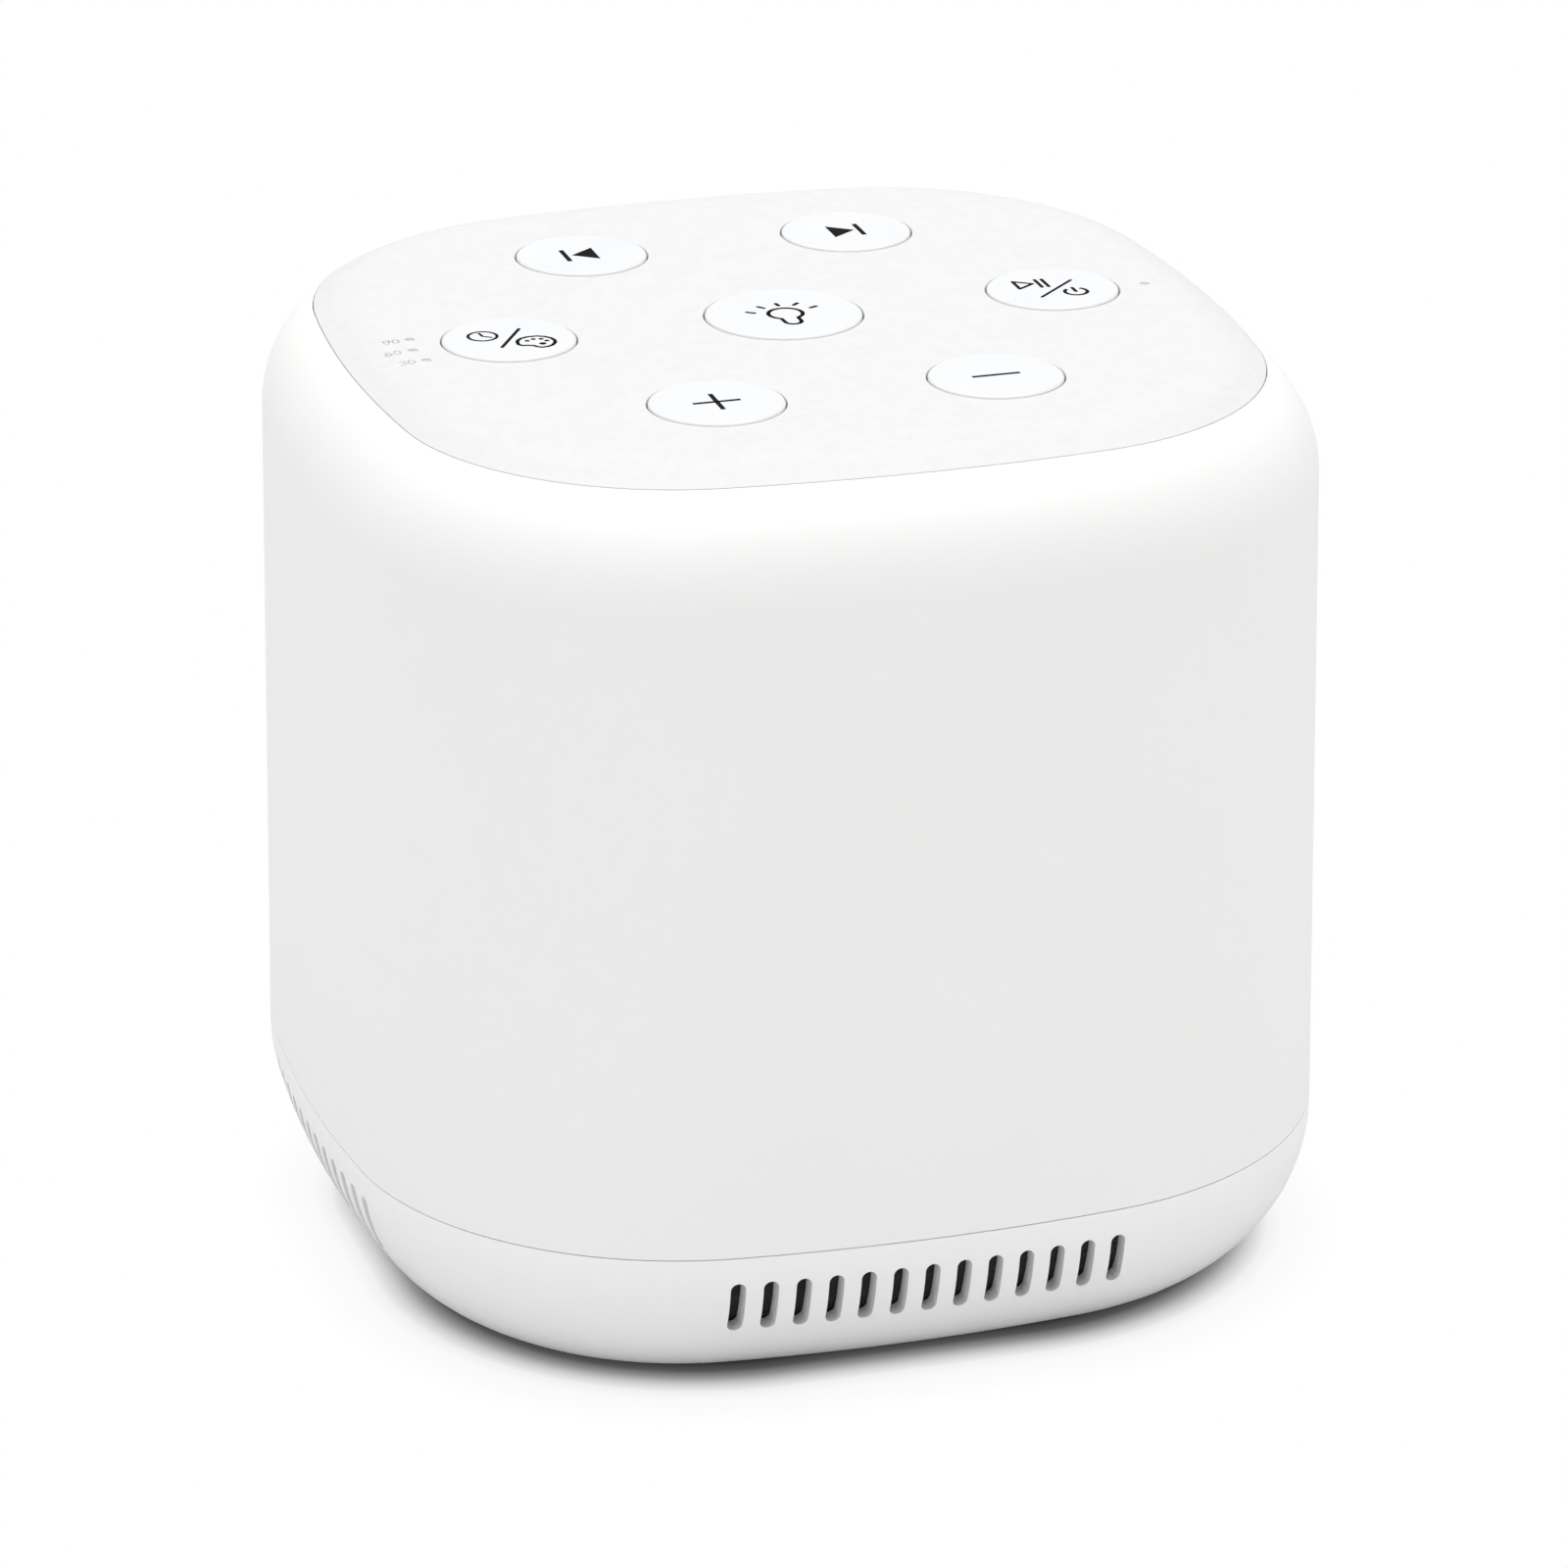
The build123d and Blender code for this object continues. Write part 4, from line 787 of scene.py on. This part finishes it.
def add_screw(mesh, middle, top, facing, head_radius, head_height, shank_radius, length):
    """Adds a screw whose head's top is at height top; facing is 1 with the head up, else -1."""
    def point(x, y, depth):
        return mesh.verts.new(Vector((middle.x + x, middle.y + y, top - facing * depth)) / MM)

    def turned_ring(radius_at, depth):
        turns = [2 * pi * step / SIDES for step in range(SIDES)]
        return [point(radius_at(turn) * cos(turn), radius_at(turn) * sin(turn), depth)
                for turn in turns]

    rings = [add_head_top(mesh, point, head_radius, head_height)]
    for share, depth in DOME:
        rings.append(turned_ring(lambda turn: head_radius * share, head_height * depth))
    threaded_length = length - head_height - TIP_LENGTH * shank_radius
    for step in range(int(threaded_length / THREAD_PITCH * RINGS_PER_TURN) + 1):
        phase = step / RINGS_PER_TURN

        def threaded(turn):
            along = (phase - turn / (2 * pi)) % 1.0
            return shank_radius - RIDGE * shank_radius * abs(2 * along - 1)

        rings.append(turned_ring(threaded, head_height + step * THREAD_PITCH / RINGS_PER_TURN))
    rings.append(turned_ring(lambda turn: shank_radius * TIP_RADIUS, length))
    for upper, lower in zip(rings, rings[1:]):
        join_rings(mesh, upper, lower)
    mesh.faces.new(rings[-1])


# %% Every screw group of the frame
SAME_LEVEL, NEAR_RIM = 0.01, 0.95  # mm, and a share of the head's radius


def from_axis(point, middle):
    """How far a point is from the upright axis through middle."""
    return (Vector((point.x, point.y)) - middle.xy).length


screw_count = 0
for node in [name for name in NODES if name.endswith("_screws")]:
    mesh = bmesh.new()
    for points in solids(node):
        low, high = box_of(points)
        middle = (low + high) / 2
        reach = {level: max(from_axis(p, middle) for p in points if abs(p.z - level) < SAME_LEVEL)
                 for level in (low.z, high.z)}
        facing = 1 if reach[high.z] > reach[low.z] else -1
        head, shank = max(reach.values()), min(reach.values())
        rim_levels = [p.z for p in points if from_axis(p, middle) > NEAR_RIM * head]
        add_screw(mesh, middle, high.z if facing == 1 else low.z, facing, head,
                  max(rim_levels) - min(rim_levels), shank, high.z - low.z)
        screw_count += 1
    piece = place_piece(f"{node}_detail", mesh, "machine", SLOTS[node], MATERIALS[SLOTS[node]])
    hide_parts(node)
print("screws", screw_count)

# %% [markdown]
# ## Surround and spider
#
# The cone hangs on two thin pleated sheets that bend as it moves: the rubber surround at its rim
# and the varnished cloth spider at its neck. In the frame their pleats are sharp folds. Here the
# same points are joined by eased curves, as pressed sheets have, and each sheet runs from the
# speaker's frame to the cone.

# %% A turned sheet with eased pleats, which belongs to no body
SHEET_SIDES, EASE_STEPS = 96, 6


def fold_points(node):
    """A sheet's folds from outside inwards: radius, upper level and lower level, in mm."""
    levels = {}
    for vertex in NODES[node].data.vertices:
        radius = round(vertex.co.xy.length * MM, 1)
        levels.setdefault(radius, []).append(vertex.co.z * MM)
    return [(radius, max(levels[radius]), min(levels[radius]))
            for radius in sorted(levels, reverse=True)]


def eased_profile(folds):
    """The folds joined by curves that leave and reach each fold level."""
    profile = [folds[0]]
    for outer, inner in zip(folds, folds[1:]):
        for step in range(1, EASE_STEPS + 1):
            along = step / EASE_STEPS
            ease = (1 - cos(pi * along)) / 2
            profile.append((outer[0] + (inner[0] - outer[0]) * along,
                            outer[1] + (inner[1] - outer[1]) * ease,
                            outer[2] + (inner[2] - outer[2]) * ease))
    return profile


def bending_sheet(node):
    """Replaces a pleated sheet of the frame with an eased one that belongs to no body."""
    folds = fold_points(node)
    profile = eased_profile(folds)
    loop = [(radius, upper) for radius, upper, lower in profile]
    loop += [(radius, lower) for radius, upper, lower in reversed(profile)]
    mesh = bmesh.new()
    turns = [2 * pi * step / SHEET_SIDES for step in range(SHEET_SIDES)]
    rings = [[mesh.verts.new((radius * cos(turn) / MM, radius * sin(turn) / MM, level / MM))
              for turn in turns] for radius, level in loop]
    for ring_points, next_ring in zip(rings, rings[1:] + rings[:1]):
        join_rings(mesh, ring_points, next_ring)
    piece = free_piece(f"{node}_sheet", mesh, SLOTS[node], MATERIALS[SLOTS[node]])
    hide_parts(node)
    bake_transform(piece)
    return folds


for node in ("surround", "spider"):
    print(node, [tuple(round(value, 2) for value in fold) for fold in bending_sheet(node)])

# %% [markdown]
# ## Inlet contacts
#
# The inlet's tongue carries twelve gilt contacts above and twelve below. They could be stripes
# in the tongue's material, but real contacts stand a little proud and catch the light on their
# edges, so each is a thin block, and all of them are one piece.

# %% Inlet contacts
CONTACTS, CONTACT_STEP, CONTACT_WIDTH, CONTACT_LIFT = 12, 0.5, 0.26, 0.02
CONTACT_FRONT, CONTACT_BACK = 1.2, 0.25


def add_block(mesh, low, high):
    """Adds a box between two corners, in mm."""
    size, middle = Vector(high) - Vector(low), (Vector(high) + Vector(low)) / 2
    corners = bmesh.ops.create_cube(mesh, size=1.0)["verts"]
    for corner in corners:
        corner.co = Vector([(c * s + m) / MM for c, s, m in zip(corner.co, size, middle)])


tongue_low, tongue_high = (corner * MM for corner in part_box("inlet_tongue"))
front, end = tongue_low.y + CONTACT_FRONT, tongue_high.y - CONTACT_BACK
mesh = bmesh.new()
for index in range(CONTACTS):
    x = (index - (CONTACTS - 1) / 2) * CONTACT_STEP
    for z, lift in ((tongue_high.z, CONTACT_LIFT), (tongue_low.z, -CONTACT_LIFT)):
        add_block(mesh, (x - CONTACT_WIDTH / 2, front, min(z, z + lift)),
                  (x + CONTACT_WIDTH / 2, end, max(z, z + lift)))
place_piece("inlet_contacts", mesh, "machine", "gold_pins", MATERIALS["gold_pins"])
print("contacts", 2 * CONTACTS)

# %% [markdown]
# ## Phosphor discs
#
# Each night-light LED has a disc of yellow phosphor in its white package. A yellow patch in the
# package's material would need its place worked out again for each one; a small domed disc goes
# straight to the middle of each package's own box.

# %% Phosphor discs in the night-light LEDs
PHOSPHOR_RADIUS, PHOSPHOR_SIDES = 2.05, 32
PHOSPHOR_FOOT, PHOSPHOR_DEPTH = 0.5, 0.25  # mm below the package's top
CROWN = 0.6  # the flat crown's share of the disc's radius and depth
surface("phosphor", (0.82, 0.62, 0.10), (0.90, 0.72, 0.18), (0.4, 0.55),
        drift=1.0, grain=0.2, bump=0.4)
mesh = bmesh.new()
packages = solids("night_light_leds")
for points in packages:
    low, high = box_of(points)
    middle = (low + high) / 2
    rings = []
    for radius, depth in ((PHOSPHOR_RADIUS, PHOSPHOR_FOOT), (PHOSPHOR_RADIUS, PHOSPHOR_DEPTH),
                          (PHOSPHOR_RADIUS * CROWN, PHOSPHOR_DEPTH * CROWN)):
        circle = oval_points(middle, radius, radius, PHOSPHOR_SIDES)
        rings.append([mesh.verts.new(Vector((x, y, high.z - depth)) / MM) for x, y in circle])
    foot, shoulder, crown = rings
    join_rings(mesh, shoulder, foot)
    join_rings(mesh, crown, shoulder)
    mesh.faces.new(foot)
    mesh.faces.new(crown)
place_piece("night_light_phosphor", mesh, "machine", "led_white", MATERIALS["phosphor"])
print("phosphor discs", len(packages))

# %% [markdown]
# ## Studio
#
# The machine stands on a white sheet under an even, soft sky, with one large lamp straight above
# that makes the top lighter than the sides. The sheet is plain white to the camera, with a
# painted contact shadow: the distance from a rounded patch about as large as the base's
# footprint, on a ramp of greys. An ambient occlusion node gives nearly the same shadow, but a
# noisy one, and a steep ramp after it makes the noise worse. To the lamp and the sky, the sheet's
# own colour is painted darker near the machine, as painted shade that darkens the bottom of the
# base. The sheet can be seen through from below, and well inside the shadow it lets light pass,
# so the underside and its feet show from there too.

# %% Node helpers for the studio
def grey_ramp(tree, source, stops):
    """A ramp of greys, given as position and level, along the source."""
    ramp = tree.nodes.new("ShaderNodeValToRGB")
    elements = ramp.color_ramp.elements
    while len(elements) < len(stops):
        elements.new(0.5)
    for element, (position, level) in zip(elements, stops):
        element.position = position
        element.color = (level, level, level, 1)
    link(tree, source, ramp.inputs["Fac"])
    return ramp.outputs["Color"]


def vector_node(tree, operation, first, second=None, output="Vector"):
    """A vector math node; its second input is a fixed vector."""
    node = tree.nodes.new("ShaderNodeVectorMath")
    node.operation = operation
    link(tree, first, node.inputs[0])
    if second is not None:
        node.inputs[1].default_value = second
    return node.outputs[output]


def mix_shaders(tree, factor, first, second):
    """The first shader where the factor is 0, the second where it is 1."""
    mix = tree.nodes.new("ShaderNodeMixShader")
    for socket, source in zip(mix.inputs, (factor, first, second)):
        link(tree, source, socket)
    return mix.outputs["Shader"]


# %% Floor: white to the camera with a painted contact shadow, and to everything else a diffuse sheet painted darker near the machine as painted shade. Sizes are in metres
SHADOW_RADIUS, SHADOW_BLUR = 0.0324, 0.0082
SHADOW_STRAIGHT = (0.0131, 0.0084, 0)
SHADOW_MIDDLE = (0.0014, 0, 0)
# The painted contact shadow, which the camera sees on the white sheet
SHADOW_GREYS = [(0.0, 0.0), (0.16, 0.03), (0.26, 0.09), (0.35, 0.28), (0.45, 0.62), (0.55, 0.88),
                (0.65, 0.95), (0.8, 0.97), (1.0, 1.0)]
# Painted shade: the sheet's diffuse colour darkens towards the machine, so the base's bottom gets
# less bounce light
SHEET_PAINTED_SHADE_GREYS = [(0.0, 0.10), (0.45, 0.40), (1.0, 0.72)]
WINDOW_RADIUS, WINDOW_EDGE = 0.023, 0.028
SHEET_REACH = 6.0


def patch_distance(tree):
    """How far a point of the sheet is from the straight-sided core of the patch."""
    place = tree.nodes.new("ShaderNodeTexCoord")
    centred = vector_node(tree, "SUBTRACT", place.outputs["Object"], SHADOW_MIDDLE)
    folded = vector_node(tree, "ABSOLUTE", centred)
    beyond = vector_node(tree, "SUBTRACT", folded, SHADOW_STRAIGHT)
    beyond = vector_node(tree, "MAXIMUM", beyond, (0, 0, 0))
    beyond = vector_node(tree, "MULTIPLY", beyond, (1, 1, 0))
    return vector_node(tree, "LENGTH", beyond, output="Value")


def floor_material():
    """A white sheet with a painted contact shadow, a soft-edged rounded patch under the base, and
    painted shade in its diffuse colour near the machine.
    """
    material = bpy.data.materials.new("studio_sheet")
    material.use_nodes = True
    tree = material.node_tree
    tree.nodes.clear()
    output = tree.nodes.new("ShaderNodeOutputMaterial")
    distance = patch_distance(tree)
    edge = remap(tree, distance, 0.0, 1.0, SHADOW_RADIUS - SHADOW_BLUR, SHADOW_RADIUS + SHADOW_BLUR)
    sheet = tree.nodes.new("ShaderNodeBsdfDiffuse")
    link(tree, grey_ramp(tree, edge, SHEET_PAINTED_SHADE_GREYS), sheet.inputs["Color"])
    white = tree.nodes.new("ShaderNodeEmission")
    link(tree, grey_ramp(tree, edge, SHADOW_GREYS), white.inputs["Color"])
    clear = tree.nodes.new("ShaderNodeBsdfTransparent")
    window = remap(tree, distance, 0.0, 1.0, WINDOW_RADIUS, WINDOW_EDGE)
    lit = mix_shaders(tree, window, clear.outputs["BSDF"], sheet.outputs["BSDF"])
    path = tree.nodes.new("ShaderNodeLightPath")
    seen = mix_shaders(tree, path.outputs["Is Camera Ray"], lit, white.outputs["Emission"])
    behind = tree.nodes.new("ShaderNodeNewGeometry")
    both = mix_shaders(tree, behind.outputs["Backfacing"], seen, clear.outputs["BSDF"])
    link(tree, both, output.inputs["Surface"])
    return material


floor_mesh = bmesh.new()
bmesh.ops.create_grid(floor_mesh, x_segments=8, y_segments=8, size=SHEET_REACH)
floor = mesh_object("studio_sheet", floor_mesh, floor_material())
print("sheet", 2 * SHEET_REACH, "m wide, shadow's corners", round(SHADOW_RADIUS * MM, 1), "mm")

# %% [markdown]
# ### Sky and lamp
#
# A light tent is nearly the same grey all round, and so is this sky, but the camera sees plain
# white behind the machine. An image of a studio could light it too, though its lamps would show
# as spots on the glossy base. One wide lamp straight above makes the top lighter than the
# walls; a small one would draw a hard shadow under the shoulder.

# %% Sky: a smooth gradient that brightens upwards, plain white behind the machine
SKY_GREYS = [(0.0, 0.80), (1.0, 0.82)]
world = bpy.data.worlds.new("studio_sky")
bpy.context.scene.world = world
world.use_nodes = True
sky_tree = world.node_tree
sky_tree.nodes.clear()
sky_out = sky_tree.nodes.new("ShaderNodeOutputWorld")
sky_place = sky_tree.nodes.new("ShaderNodeTexCoord")
sky_axes = sky_tree.nodes.new("ShaderNodeSeparateXYZ")
link(sky_tree, sky_place.outputs["Generated"], sky_axes.inputs[0])
sky_light = sky_tree.nodes.new("ShaderNodeBackground")
link(sky_tree, grey_ramp(sky_tree, sky_axes.outputs["Z"], SKY_GREYS), sky_light.inputs["Color"])
sky_white = sky_tree.nodes.new("ShaderNodeBackground")
sky_white.inputs["Color"].default_value = (1, 1, 1, 1)
sky_path = sky_tree.nodes.new("ShaderNodeLightPath")
sky_both = mix_shaders(sky_tree, sky_path.outputs["Is Camera Ray"],
                       sky_light.outputs["Background"], sky_white.outputs["Background"])
link(sky_tree, sky_both, sky_out.inputs["Surface"])
print("sky greys", SKY_GREYS)

# %% Lamp: one large round soft box straight above, facing down as a new area lamp does
LAMP_HEIGHT, LAMP_WIDTH, LAMP_WATTS = 1.4, 2.0, 14.0
lamp_data = bpy.data.lights.new("overhead_box", "AREA")
lamp_data.shape = "DISK"
lamp_data.size = LAMP_WIDTH
lamp_data.energy = LAMP_WATTS
lamp = new_object("overhead_box", lamp_data)
lamp.location = (0, 0, LAMP_HEIGHT)
print("lamp", LAMP_WIDTH, "m wide,", LAMP_HEIGHT, "m up,", LAMP_WATTS, "W")

# %% [markdown]
# ## Camera
#
# A long lens from the front, a little to the left and above, so the sides stay almost upright
# and the top is open enough to read its signs. A short lens close by would splay the walls.

# %% Camera: turned about the machine's middle, then shifted a little in its own plane
TURN, RISE, ROLL = radians(-16.876165), radians(21.700345), 0.0006
AIM, DISTANCE = Vector((0, 0, 0.0512)), 0.7322933
SIDE_STEP, UP_STEP = 0.0000625, -0.0048896
LENS, SENSOR, FAR_END = 167.549, 36.0, 20.0  # mm, mm, metres
back = Vector((sin(TURN) * cos(RISE), -cos(TURN) * cos(RISE), sin(RISE)))
right = Vector((cos(TURN), sin(TURN), 0))
up = back.cross(right)
camera_right = right * cos(ROLL) + up * sin(ROLL)
camera_up = up * cos(ROLL) - right * sin(ROLL)
camera_data = bpy.data.cameras.new("camera")
camera_data.lens = LENS
camera_data.sensor_width = SENSOR
camera_data.clip_end = FAR_END
camera = new_object("camera", camera_data)
turned = Matrix((camera_right, camera_up, back)).transposed().to_4x4()
place = AIM + back * DISTANCE + camera_right * SIDE_STEP + camera_up * UP_STEP
camera.matrix_world = Matrix.Translation(place) @ turned
bpy.context.scene.camera = camera
bpy.context.scene.view_settings.view_transform = "Standard"
print("camera at", [round(value, 4) for value in place])
